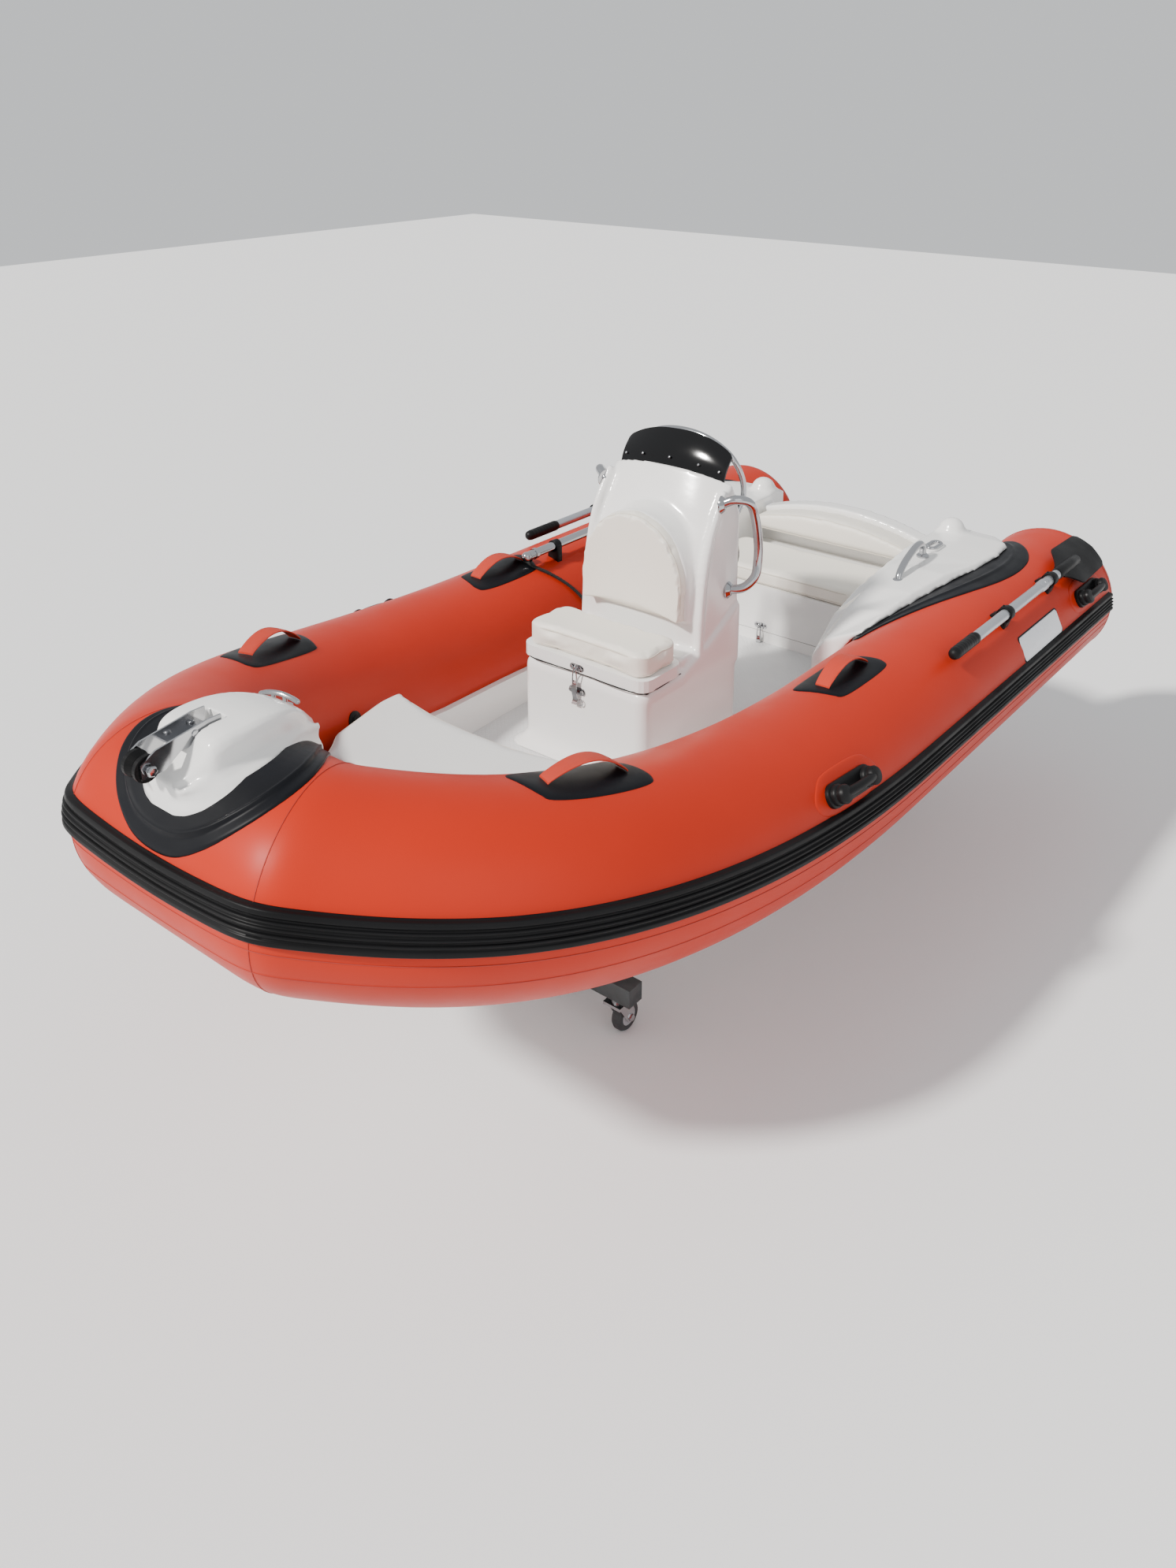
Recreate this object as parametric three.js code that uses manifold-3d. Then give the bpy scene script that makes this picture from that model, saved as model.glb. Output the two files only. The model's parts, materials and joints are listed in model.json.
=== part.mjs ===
// Rigid inflatable dinghy on its wheeled storage cradle, in millimetres.
// +X port, +Y aft, +Z up. The boat is drawn about the axis of its buoyancy tube at the stern
// (z = 0 there); the whole group is then lifted so that the castors stand on z = 0, and moved
// forward so that its length is centred on y = 0.
import * as THREE from "three";
import { mergeVertices } from "three/addons/utils/BufferGeometryUtils.js";
import Module from "manifold-3d";

const wasm = await Module();
wasm.setup();
const { Manifold } = wasm;

// ---------------------------------------------------------------- driving dimensions
const GAP = 0.3; // between pieces that touch
const WELD = 0.02; // slivers smaller than this are closed up
const SWING = 6; // between a moving piece and what it passes

const TUBE_AXIS_HEIGHT = 635; // of the stern tube axis over the floor
const TUBE_R = 210;
const HALF_BEAM = 579; // to the tube axis
const BOW_Y = -1046; // tube axis across the bow
const BOW_HALF = 205; // half length of the straight bow tube
const BOW_ANGLE = THREE.MathUtils.degToRad(42.6); // side tube against the bow tube
const SHOULDER_Y = 415; // where the sides become parallel
const SHOULDER_PULL = [0.206, 0.726]; // fullness of the curve at bow and shoulder
const STERN_Y = 1690; // end of the full-size tube
const CONE_LENGTH = 75;
const BOW_RISE = 192;
const SHEER_Y = 303; // aft of this the tube axis is level

const STRAKE_ANGLE = [9.2, 6.2]; // degrees above the tube axis, bow and stern
const STRAKE_WIDTH = [73, 61]; // bow and stern
const STRAKE_DEPTH = 14;
const STRAKE_END_Y = 1672;

const SOLE_Z = -100;
const SOLE_THICK = 22;
const LINER_INSET = 195; // cockpit liner inside the tube axis
const LINER_THICK = 34;
const LINER_TOP = -12;
const HULL_Y = 1500; // transom face
const KEEL_Z = -360;
const CHINE_X = 405;
const CHINE_Z = -228;
const TRANSOM_THICK = 46;
const TRANSOM_TOP = 52;
const TRANSOM_HALF = 235;

const GASKET = 5; // rubber under the fairings
const FAIRING_TOP = 478;

const LOCKER_TOP = 98;
const LOCKER_Y = [-735, -362]; // hinge line and aft edge of the bow lid
const LOCKER_HALF = 300;
const HINGE_STEP = 34; // cushion behind the hinge line
const LOCKER_HOLLOW = 34; // recess of the aft edge in the middle
const LOCKER_OPENS = 60; // degrees
const WALL = 12;
const LID = 16;
const PAD = 46;

const CONSOLE_HALF = 200;
const CONSOLE_Y = [-8, 425];
const SEAT_TOP = 158; // of the seat box
const SEAT_HINGE_Y = 160;
const SEAT_LID = 32;
const SEAT_PAD = 60;
const REST_Y = 190; // front of the backrest
const REST_THICK = 42;
const REST_BOTTOM = 264;
const REST_TOP = 535;
const REST_HALF = 165;
const TOWER_FRONT = [[232, SEAT_TOP - 20], [234, 330], [262, 425], [310, 520], [366, 606]];
const TOWER_HALF = 190;
const TOWER_TOP = 606;
const SCREEN_RISE = 82;
const SCREEN_THICK = 5;
const RAIL_R = 12.5;

const WHEEL_R = 126;
const WHEEL_RIM = 11;
const WHEEL_CENTRE = [0, 500, 385];
const WHEEL_RAKE = THREE.MathUtils.degToRad(20);
const SHAFT_R = 11;

const CHEEK_HALF = 300; // inside faces of the stern cheeks
const CHEEK_WALL = 26;
const BENCH_Y = 950; // front of the bench
const BENCH_HINGE_Y = 1216;
const BENCH_TOP = 58; // of the box
const BENCH_LID = 28;
const BENCH_PAD = 50;
const APRON_BOTTOM = -62;
const BACK_Y = 1352; // wall behind the bench
const BACK_THICK = 60;
const BACK_TOP = 246;
const BACK_ARCH = 52; // drop of the rim at the cheeks
const DECK_TOP = 226; // top of the side fairings
const DOME_R = 42;
const DOME_AT = [349, 1432];

const OAR_ANGLE = 54;
const OAR_R = 14.5;
const OAR_Y = [620, 1640];
const POLE_R = 14;
const POLE_Y = [375, 1120];
const POLE_X = -520;

const ROPE_D = 10;
const COIL_AT = [-70, 640];
const COIL_D = 112; // at the middle of its turns

const CASTOR_R = 40;
const CASTOR_WIDTH = 26;
const CASTOR_HEIGHT = 108;
const CASTOR_TRAIL = 24;
const CASTOR_X = 300;
const CROSS_Y = [-232, 1180];
const BEAM = 50;
const AXLE_R = 6;

// ---------------------------------------------------------------- finishes
const finish = (color, roughness, metalness = 0) => ({ color, roughness, metalness });
const ORANGE = finish(0xcf4526, 0.5);
const RUBBER = finish(0x15171a, 0.6);
const GELCOAT = finish(0xf3f1ee, 0.25);
const VINYL = finish(0xe9e4d8, 0.6);
const STEEL = finish(0xc9ccd0, 0.18, 1);
const SMOKE = finish(0x111113, 0.12);
const ALLOY = finish(0xa9adb3, 0.35, 1);
const PLASTIC = finish(0x1a1b1d, 0.55);
const CRADLE = finish(0x3a3d40, 0.55, 0.4);
const CORD = finish(0x17181a, 0.9);

const group = new THREE.Group();
group.name = "dinghy";

// ---------------------------------------------------------------- solids and booleans
const v3 = (x, y, z) => new THREE.Vector3(x, y, z);

function solidOf(geometry) {
  const bare = geometry.clone();
  bare.deleteAttribute("normal");
  bare.deleteAttribute("uv");
  const merged = mergeVertices(bare, 1e-4);
  const make = (triVerts) =>
    new Manifold(
      new wasm.Mesh({
        numProp: 3,
        vertProperties: new Float32Array(merged.attributes.position.array),
        triVerts,
      }),
    );
  const faces = new Uint32Array(merged.index.array);
  const made = make(faces);
  if (made.volume() > 0) return made;
  return make(faces.slice().reverse());
}

function geometryOf(manifold) {
  const mesh = manifold.simplify(WELD).getMesh();
  const geometry = new THREE.BufferGeometry();
  geometry.setAttribute("position", new THREE.Float32BufferAttribute(mesh.vertProperties, 3));
  geometry.setIndex(new THREE.BufferAttribute(new Uint32Array(mesh.triVerts), 1));
  geometry.computeVertexNormals();
  return geometry;
}

const union = (...solids) => solids.reduce((a, b) => a.add(b));

// A solid with the standard gap round it, for cutting what touches it.
const grown = (s) =>
  union(s, ...[[GAP, 0, 0], [0, GAP, 0], [0, 0, GAP]].flatMap((d) => [
    s.translate(d),
    s.translate(d.map((n) => -n)),
  ]));

// The largest of the bodies that a cut leaves.
const largest = (s) => s.decompose().sort((a, b) => b.volume() - a.volume())[0];
const mirrored = (s) => s.mirror([1, 0, 0]);

function place(name, manifold, look) {
  const mesh = new THREE.Mesh(geometryOf(manifold), new THREE.MeshStandardMaterial(look));
  mesh.name = name;
  group.add(mesh);
}

function placePair(stem, manifold, look) {
  place(`${stem}_port`, manifold, look);
  place(`${stem}_starboard`, mirrored(manifold), look);
}

// A closed skin through rings of equal count, with flat ends.
function loft(rings) {
  const count = rings[0].length;
  const points = rings.flat();
  const index = [];
  for (let i = 0; i + 1 < rings.length; i++)
    for (let j = 0; j < count; j++) {
      const k = (j + 1) % count;
      const [a, b] = [i * count + j, i * count + k];
      index.push(a, b, a + count, b, b + count, a + count);
    }
  const cap = (ring, base, flip) => {
    const centre = ring.reduce((s, p) => s.add(p), v3(0, 0, 0)).divideScalar(count);
    const normal = v3(0, 0, 0);
    ring.forEach((p, j) =>
      normal.add(p.clone().sub(centre).cross(ring[(j + 1) % count].clone().sub(centre))),
    );
    normal.normalize();
    const u = ring[0].clone().sub(centre).normalize();
    const w = normal.clone().cross(u);
    const flat = ring.map((p) => {
      const d = p.clone().sub(centre);
      return new THREE.Vector2(d.dot(u), d.dot(w));
    });
    for (const [a, b, c] of THREE.ShapeUtils.triangulateShape(flat, []))
      index.push(...(flip ? [base + a, base + c, base + b] : [base + a, base + b, base + c]));
  };
  cap(rings[0], 0, true);
  cap(rings.at(-1), (rings.length - 1) * count, false);
  const geometry = new THREE.BufferGeometry().setFromPoints(points);
  geometry.setIndex(index);
  return solidOf(geometry);
}

const shapeOf = (points) => new THREE.Shape(points.map(([x, y]) => new THREE.Vector2(x, y)));

// A plan outline standing from z0 to z1.
function prism(points, z0, z1) {
  const body = new THREE.ExtrudeGeometry(shapeOf(points), { depth: z1 - z0, bevelEnabled: false });
  return solidOf(body.translate(0, 0, z0));
}

// A side view of [y, z] points standing from x0 to x1.
function sidePrism(points, x0, x1) {
  const body = new THREE.ExtrudeGeometry(shapeOf(points), { depth: x1 - x0, bevelEnabled: false });
  const turn = new THREE.Matrix4().makeBasis(v3(0, 1, 0), v3(0, 0, 1), v3(1, 0, 0));
  return solidOf(body.applyMatrix4(turn).translate(x0, 0, 0));
}

// A front view of [x, z] points standing from y0 to y1.
function frontPrism(points, y0, y1) {
  const body = new THREE.ExtrudeGeometry(shapeOf(points), { depth: y1 - y0, bevelEnabled: false });
  const turn = new THREE.Matrix4().makeBasis(v3(1, 0, 0), v3(0, 0, 1), v3(0, -1, 0));
  return solidOf(body.applyMatrix4(turn).translate(0, y1, 0));
}

function box(x0, x1, y0, y1, z0, z1) {
  const body = new THREE.BoxGeometry(x1 - x0, y1 - y0, z1 - z0);
  return solidOf(body.translate((x0 + x1) / 2, (y0 + y1) / 2, (z0 + z1) / 2));
}

// A round bar from a to b.
function bar(a, b, r, sides = 20) {
  const body = new THREE.CylinderGeometry(r, r, a.distanceTo(b), sides);
  const turn = new THREE.Quaternion().setFromUnitVectors(
    v3(0, 1, 0),
    b.clone().sub(a).normalize(),
  );
  const middle = a.clone().add(b).multiplyScalar(0.5);
  return solidOf(body.applyQuaternion(turn).translate(middle.x, middle.y, middle.z));
}

function ball(centre, r) {
  return solidOf(new THREE.SphereGeometry(r, 20, 12).translate(centre.x, centre.y, centre.z));
}

// A bent tube through points.
function bentTube(points, r, steps, sides = 10) {
  const path = new THREE.CatmullRomCurve3(points, false, "centripetal");
  const round = new THREE.Shape().absarc(0, 0, r, 0, Math.PI * 2);
  const body = new THREE.ExtrudeGeometry(round, {
    steps,
    curveSegments: sides / 2,
    extrudePath: path,
    bevelEnabled: false,
  });
  return solidOf(body);
}

// Plan outline of a box with rounded corners.
function roundedPlan(x0, x1, y0, y1, r, steps = 4) {
  const corner = (cx, cy, start) =>
    Array.from({ length: steps + 1 }, (_, i) => {
      const a = start + (i / steps) * (Math.PI / 2);
      return [cx + r * Math.cos(a), cy + r * Math.sin(a)];
    });
  return [
    ...corner(x1 - r, y1 - r, 0),
    ...corner(x0 + r, y1 - r, Math.PI / 2),
    ...corner(x0 + r, y0 + r, Math.PI),
    ...corner(x1 - r, y0 + r, 1.5 * Math.PI),
  ];
}

const bothSides = (half) => [...half, ...half.toReversed().map(([x, y]) => [-x, y])];

// ---------------------------------------------------------------- the tube axis
const sheer = (y) => BOW_RISE * Math.max(0, (SHEER_Y - y) / (SHEER_Y - BOW_Y)) ** 2;

const BOW_CORNER = v3(BOW_HALF, BOW_Y, sheer(BOW_Y));
const sidePlan = (() => {
  const from = new THREE.Vector2(BOW_HALF, BOW_Y);
  const to = new THREE.Vector2(HALF_BEAM, SHOULDER_Y);
  const span = from.distanceTo(to);
  const leave = new THREE.Vector2(Math.cos(BOW_ANGLE), Math.sin(BOW_ANGLE));
  const arrive = new THREE.Vector2(0, -1);
  return new THREE.CubicBezierCurve(
    from,
    from.clone().addScaledVector(leave, SHOULDER_PULL[0] * span),
    to.clone().addScaledVector(arrive, SHOULDER_PULL[1] * span),
    to,
  );
})();

function axisX(y) {
  if (y >= SHOULDER_Y) return HALF_BEAM;
  let [low, high] = [0, 1];
  for (let i = 0; i < 40; i++) {
    const middle = (low + high) / 2;
    if (sidePlan.getPoint(middle).y < y) low = middle;
    else high = middle;
  }
  return sidePlan.getPoint(low).x;
}

// Stations from the bow corner to the stern on the port side: place, direction, share of radius.
function portStations(endY, coned) {
  const raised = (p) => v3(p.x, p.y, sheer(p.y));
  const along = [];
  const bends = 9;
  for (let i = 0; i <= bends; i++) {
    const t = i / bends;
    const here = raised(sidePlan.getPoint(t));
    const flat = sidePlan.getTangent(t);
    const slope = here.y < SHEER_Y ? (-2 * sheer(here.y)) / (SHEER_Y - here.y) : 0;
    along.push({ p: here, t: v3(flat.x, flat.y, slope * flat.y).normalize(), share: 1 });
  }
  const straight = (y, share) =>
    along.push({ p: v3(HALF_BEAM, y, 0), t: v3(0, 1, 0), share });
  straight((SHOULDER_Y + endY) / 2, 1);
  straight(endY, 1);
  if (coned)
    for (const [k, share] of [[0.35, 0.965], [0.65, 0.86], [0.88, 0.66], [1, 0.42]])
      straight(endY + k * CONE_LENGTH, share);
  return along;
}

// Rings of a section carried round the whole tube, starboard stern to port stern.
// section(share along the side, share of radius) gives [out, up] points about the axis.
function aroundTube(section, endY, coned = false) {
  const port = portStations(endY, coned);
  const ring = ({ p, t, share }, i) => {
    const out = t.clone().cross(v3(0, 0, 1)).normalize();
    const up = out.clone().cross(t);
    const mitre = v3(1, 0, 0).add(port[0].t).normalize();
    return section(i / (port.length - 1), share).map(([o, u]) => {
      const spoke = out.clone().multiplyScalar(o).addScaledVector(up, u);
      const slide = i === 0 ? -spoke.dot(mitre) / t.dot(mitre) : 0;
      return p.clone().add(spoke).addScaledVector(t, slide);
    });
  };
  const across = section(0, 1).map(([o, u]) => v3(0, BOW_Y - o, sheer(BOW_Y) + u));
  const half = loft([across, ...port.map(ring)]);
  return half.add(mirrored(half));
}

const circle = (r, sides = 26) =>
  Array.from({ length: sides }, (_, i) => {
    const a = (i / sides) * 2 * Math.PI;
    return [r * Math.cos(a), r * Math.sin(a)];
  });

const tubeOf = (r) => aroundTube((_, share) => circle(r * share), STERN_Y, true);
const tube = tubeOf(TUBE_R);
const tubeRoom = tubeOf(TUBE_R + GAP);
const gasketSkin = tubeOf(TUBE_R + GAP + GASKET);
const fairingRoom = tubeOf(TUBE_R + GASKET + 2 * GAP);

// Half-space cuts at the mitre between bow tube and side tube.
const mitreNormal = v3(1, 0, 0).add(portStations(STERN_Y, false)[0].t).normalize();
const mitreOffset = mitreNormal.dot(BOW_CORNER);
const portMitre = [mitreNormal.x, mitreNormal.y, mitreNormal.z];
const backwards = portMitre.map((n) => -n);

const abaftMitre = (s) =>
  s.trimByPlane([1, 0, 0], 1).trimByPlane(portMitre, mitreOffset + GAP / 2);
const betweenMitres = (s) => {
  const cut = s.trimByPlane(backwards, GAP / 2 - mitreOffset);
  return mirrored(mirrored(cut).trimByPlane(backwards, GAP / 2 - mitreOffset));
};

place("tube_bow", betweenMitres(tube), ORANGE);
placePair("tube", abaftMitre(tube), ORANGE);

// Rubbing strake: three ribs on a flat band, glued round the outside of the tube.
const strakeOutline = [
  [-0.5, 0], [-0.46, 0.6], [-0.2, 0.72], [-0.16, 0.45], [-0.1, 1],
  [0.1, 1], [0.16, 0.45], [0.2, 0.72], [0.46, 0.6], [0.5, 0],
];
const strake = aroundTube((along) => {
  const angle = THREE.MathUtils.degToRad(THREE.MathUtils.lerp(...STRAKE_ANGLE, along));
  const width = THREE.MathUtils.lerp(...STRAKE_WIDTH, along);
  return strakeOutline.map(([w, d]) => {
    const spread = angle + (w * width) / TUBE_R;
    const r = (TUBE_R - 4) + d * (STRAKE_DEPTH + 4);
    return [r * Math.cos(spread), r * Math.sin(spread)];
  });
}, STRAKE_END_Y).subtract(tubeRoom);
place("strake_bow", betweenMitres(strake), RUBBER);
placePair("strake", abaftMitre(strake), RUBBER);

// ---------------------------------------------------------------- hull, liner and sole
// Plan outline at an inset from the tube axis, from a front line to a back line.
function insetPlan(inset, frontY, backY, steps = 9) {
  const curveEnd = Math.min(SHOULDER_Y, backY);
  const half = [];
  for (let i = 0; i <= steps; i++) {
    const y = frontY + (curveEnd - frontY) * (i / steps) ** 1.4;
    half.push([Math.max(axisX(y) - inset, 30), y]);
  }
  if (backY > SHOULDER_Y) half.push([HALF_BEAM - inset, backY]);
  return bothSides(half);
}

const hullStations = [
  // y, keel z, chine x, chine z, top x, top z
  [HULL_Y, KEEL_Z, CHINE_X, CHINE_Z, 520, LINER_TOP],
  [400, KEEL_Z, CHINE_X, CHINE_Z + 3, 515, LINER_TOP],
  [-150, KEEL_Z + 8, 375, -210, 500, LINER_TOP + 20],
  [-520, KEEL_Z + 50, 310, -175, 450, 50],
  [-820, KEEL_Z + 126, 232, -140, 340, 110],
  [-1000, KEEL_Z + 236, 116, -64, 220, 160],
  [-1090, KEEL_Z + 350, 24, 0, 90, 180],
];
const hullBlock = loft(
  hullStations.map(([y, keel, cx, cz, sx, sz]) => [
    v3(-sx, y, sz), v3(-cx, y, cz), v3(0, y, keel), v3(cx, y, cz), v3(sx, y, sz),
  ]),
);
const COCKPIT_FRONT = -856;
const soleFloor = SOLE_Z - SOLE_THICK;
const cockpit = prism(insetPlan(LINER_INSET + LINER_THICK, COCKPIT_FRONT, HULL_Y - 30), soleFloor, 400);
const hull = hullBlock.subtract(tubeRoom).subtract(cockpit);
place("hull", hull, GELCOAT);
const hullClear = grown(hull);

const sole = prism(
  insetPlan(LINER_INSET + LINER_THICK + GAP, COCKPIT_FRONT + GAP, HULL_Y - 30 - GAP),
  soleFloor + GAP,
  SOLE_Z,
);
place("cockpit_sole", largest(sole.subtract(union(tubeRoom, hullClear))), GELCOAT);

const transom = box(-TRANSOM_HALF, TRANSOM_HALF, HULL_Y + GAP, HULL_Y + GAP + TRANSOM_THICK,
  KEEL_Z + 60, TRANSOM_TOP);
place("transom_board", transom, PLASTIC);

// ---------------------------------------------------------------- bow locker, lid and cushion
// Half outline of the lid and its cushion: narrow at the hinge, so that both swing past the tube.
const lockerPlan = (inset) => [
  [196 - inset, LOCKER_Y[0] + (inset && HINGE_STEP)], [224 - inset, -685], [250 - inset, -635],
  [LOCKER_HALF - inset, -430], [LOCKER_HALF - inset, LOCKER_Y[1] - inset / 2],
  [LOCKER_HALF * 0.45, LOCKER_Y[1] - inset / 2 - LOCKER_HOLLOW * 0.8],
  [0, LOCKER_Y[1] - inset / 2 - LOCKER_HOLLOW],
];
const soleTop = SOLE_Z + GAP;
const lockerFace = LOCKER_Y[1] - LOCKER_HOLLOW - 12;
const lockerOuter = prism(
  insetPlan(LINER_INSET + LINER_THICK + 2, COCKPIT_FRONT + 2, lockerFace),
  soleTop, LOCKER_TOP,
);
const lockerInner = prism(
  bothSides([[150, -700], [250, -560], [272, -480], [272, lockerFace - WALL]]),
  soleTop + WALL, LOCKER_TOP + 50,
);
const locker = lockerOuter.subtract(union(tubeRoom, hullClear)).subtract(lockerInner);
place("bow_locker", largest(locker), GELCOAT);

const tubeSwing = tubeOf(TUBE_R + SWING);
const evenPlan = (half) => [...half, ...half.slice(0, -1).toReversed().map(([x, y]) => [-x, y])];
const bowLid = prism(evenPlan(lockerPlan(0)), LOCKER_TOP + GAP, LOCKER_TOP + LID);
const bowPadBottom = LOCKER_TOP + LID + GAP;
const bowPad = prism(evenPlan(lockerPlan(7)), bowPadBottom, bowPadBottom + PAD);
// Turned about the lid's hinge, so that the sides are trimmed to pass the tube as they open.
const hingeZ = LOCKER_TOP + LID;
const turnedBack = (s, degrees) =>
  s.translate([0, -LOCKER_Y[0], -hingeZ]).rotate([-degrees, 0, 0]).translate([0, LOCKER_Y[0], hingeZ]);
const swingsClear = (s) =>
  [0, 0.25, 0.5, 0.75, 1].reduce(
    (left, share) => left.subtract(turnedBack(tubeSwing, share * LOCKER_OPENS)), s);
place("bow_locker_lid", largest(swingsClear(bowLid)), GELCOAT);
place("bow_cushion", largest(swingsClear(bowPad)), VINYL);

// ---------------------------------------------------------------- bow fairing, gasket, roller
const bowGasketHalf = [
  [0, -1242], [90, -1236], [170, -1212], [224, -1166], [244, -1110], [232, -1052],
  [202, -1000], [160, -950], [112, -905], [60, -876], [0, -868],
];
const bowGasket = gasketSkin
  .intersect(prism(bothSides(bowGasketHalf.slice(1, -1)), 200, 500))
  .subtract(tubeRoom);
place("bow_gasket", bowGasket, RUBBER);

// Sections of the fairing: y, half width at the foot, half width on top, top height.
const fairingSections = [
  [-1200, 86, 60, 356], [-1186, 118, 84, 398], [-1150, 156, 104, 440], [-1100, 172, 112, 468],
  [-1040, 166, 104, FAIRING_TOP], [-980, 140, 86, 456], [-920, 100, 62, 408], [-872, 58, 36, 352],
];
const fairing = loft(
  fairingSections.map(([y, foot, top, z]) => [
    v3(-foot, y, 150), v3(-foot, y, z - 62), v3(-top - 14, y, z - 14), v3(-top * 0.7, y, z),
    v3(top * 0.7, y, z), v3(top + 14, y, z - 14), v3(foot, y, z - 62), v3(foot, y, 150),
  ]),
).subtract(fairingRoom);
const SLOT_HALF = 27;
const ROLLER_AT = v3(0, -1246, 438);
const slotFloor = 448;
const slot = box(-SLOT_HALF - GAP, SLOT_HALF + GAP, -1300, -1085, slotFloor - GAP, 560);
const fairingShell = fairing.subtract(slot).trimByPlane([0, 0, 1], 215);
place("bow_fairing", fairingShell, GELCOAT);

const ROLLER_R = 26;
const cheekProfile = [
  [-1262, 424], [-1262, 452], [-1230, 470], [-1120, 486], [-1090, 486], [-1090, slotFloor],
  [-1180, slotFloor], [-1215, 424],
];
const cheekOuter = SLOT_HALF;
const PLATE = 4;
const bracket = union(
  sidePrism(cheekProfile, -cheekOuter, -cheekOuter + PLATE),
  sidePrism(cheekProfile, cheekOuter - PLATE, cheekOuter),
  box(-cheekOuter, cheekOuter, -1180, -1090, slotFloor, slotFloor + PLATE),
  bar(v3(-cheekOuter - 6, ROLLER_AT.y, ROLLER_AT.z), v3(cheekOuter + 6, ROLLER_AT.y, ROLLER_AT.z),
    AXLE_R, 16),
);
place("roller_bracket", bracket, STEEL);
const rollerHalf = cheekOuter - PLATE - 2;
const rollerSpin = (outline) => {
  const body = new THREE.LatheGeometry(outline.map(([r, x]) => new THREE.Vector2(r, x)), 28);
  return solidOf(body.rotateZ(-Math.PI / 2).translate(ROLLER_AT.x, ROLLER_AT.y, ROLLER_AT.z));
};
const bore = AXLE_R + 0.6;
const roller = rollerSpin([
  [bore, -rollerHalf], [ROLLER_R, -rollerHalf], [ROLLER_R, -rollerHalf * 0.6],
  [ROLLER_R * 0.62, 0], [ROLLER_R, rollerHalf * 0.6], [ROLLER_R, rollerHalf],
  [bore, rollerHalf], [bore, -rollerHalf],
]);
place("anchor_roller", roller, PLASTIC);

// ---------------------------------------------------------------- console and forward seat
const boxPlan = (inset, backY) =>
  roundedPlan(-CONSOLE_HALF + inset, CONSOLE_HALF - inset, CONSOLE_Y[0] + inset, backY, 34 - inset / 2);
const seatBox = prism(boxPlan(0, CONSOLE_Y[1]), soleTop, SEAT_TOP);
const foot = loft(
  [[0, 62], [18, 24], [52, 0]].map(([rise, spread]) =>
    roundedPlan(-CONSOLE_HALF - spread, CONSOLE_HALF + spread, CONSOLE_Y[0] - spread,
      CONSOLE_Y[1] + spread / 2, 34 + spread / 2).map(([x, y]) => v3(x, y, soleTop + rise)),
  ),
);
const seatWell = prism(
  roundedPlan(-CONSOLE_HALF + WALL, CONSOLE_HALF - WALL, CONSOLE_Y[0] + WALL, SEAT_HINGE_Y - 22, 24),
  soleTop + WALL, SEAT_TOP + 60,
);
const crown = (x) => 26 * (1 - (x / TOWER_HALF) ** 2);
const towerRear = CONSOLE_Y[1];
const towerSide = (rise) => [
  ...TOWER_FRONT.slice(0, -1),
  [TOWER_FRONT.at(-1)[0], TOWER_TOP + rise],
  [TOWER_FRONT.at(-1)[0] + 26, TOWER_TOP - 22 + rise * 0.8],
  [towerRear, TOWER_TOP - 92],
  [towerRear, SEAT_TOP - 20],
];
const tower = loft(
  Array.from({ length: 9 }, (_, i) => -TOWER_HALF + (i / 8) * 2 * TOWER_HALF).map((x) => {
    const edge = Math.abs(x) / TOWER_HALF;
    const set = 16 * edge ** 4;
    return towerSide(crown(x)).map(([y, z], k) =>
      v3(x, k < TOWER_FRONT.length ? y - 16 * (1 - edge ** 2) + set : y, z));
  }),
);
const ledge = box(-TOWER_HALF + 4, TOWER_HALF - 4, SEAT_HINGE_Y + SWING, 260, SEAT_TOP - 10,
  SEAT_TOP + SEAT_LID - 2);
const helmAxis = v3(0, Math.cos(WHEEL_RAKE), Math.sin(WHEEL_RAKE));
const wheelCentre = v3(...WHEEL_CENTRE);
const onHelm = (d) => wheelCentre.clone().addScaledVector(helmAxis, d);
const helm = bar(onHelm(-130), onHelm(-26), 34, 24);
const shaft = bar(onHelm(-40), onHelm(14), SHAFT_R, 20);
const consoleBody = union(seatBox, foot, tower, ledge, helm, shaft).subtract(seatWell);
place("console", consoleBody, GELCOAT);

const seatLid = prism(
  roundedPlan(-CONSOLE_HALF - 2, CONSOLE_HALF + 2, CONSOLE_Y[0] - 2, SEAT_HINGE_Y, 34),
  SEAT_TOP + GAP, SEAT_TOP + SEAT_LID,
);
place("seat_lid", seatLid, GELCOAT);
const seatPadBottom = SEAT_TOP + SEAT_LID + GAP;
const seatPad = prism(
  roundedPlan(-CONSOLE_HALF + 5, CONSOLE_HALF - 5, CONSOLE_Y[0] + 3, SEAT_HINGE_Y - 4, 40, 6),
  seatPadBottom, seatPadBottom + SEAT_PAD,
);
place("seat_cushion", seatPad, VINYL);

// Backrest: straight sides below, a tall arch above, chamfered at the foot.
const restArch = Array.from({ length: 13 }, (_, i) => {
  const a = (i / 12) * Math.PI;
  const base = REST_BOTTOM + 80;
  return [REST_HALF * Math.cos(a), base + (REST_TOP - base) * Math.sin(a)];
});
const backrest = frontPrism(
  [[-REST_HALF + 6, REST_BOTTOM], [REST_HALF - 6, REST_BOTTOM], ...restArch],
  REST_Y, REST_Y + REST_THICK + 60,
)
  .subtract(sidePrism([[REST_Y - 1, REST_BOTTOM - 1], [REST_Y + 8, REST_BOTTOM - 1],
    [REST_Y - 1, REST_BOTTOM + 8]], -300, 300))
  .subtract(consoleBody.translate([0, -GAP, 0]))
  .subtract(consoleBody);
place("backrest_cushion", largest(backrest), VINYL);

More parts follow.
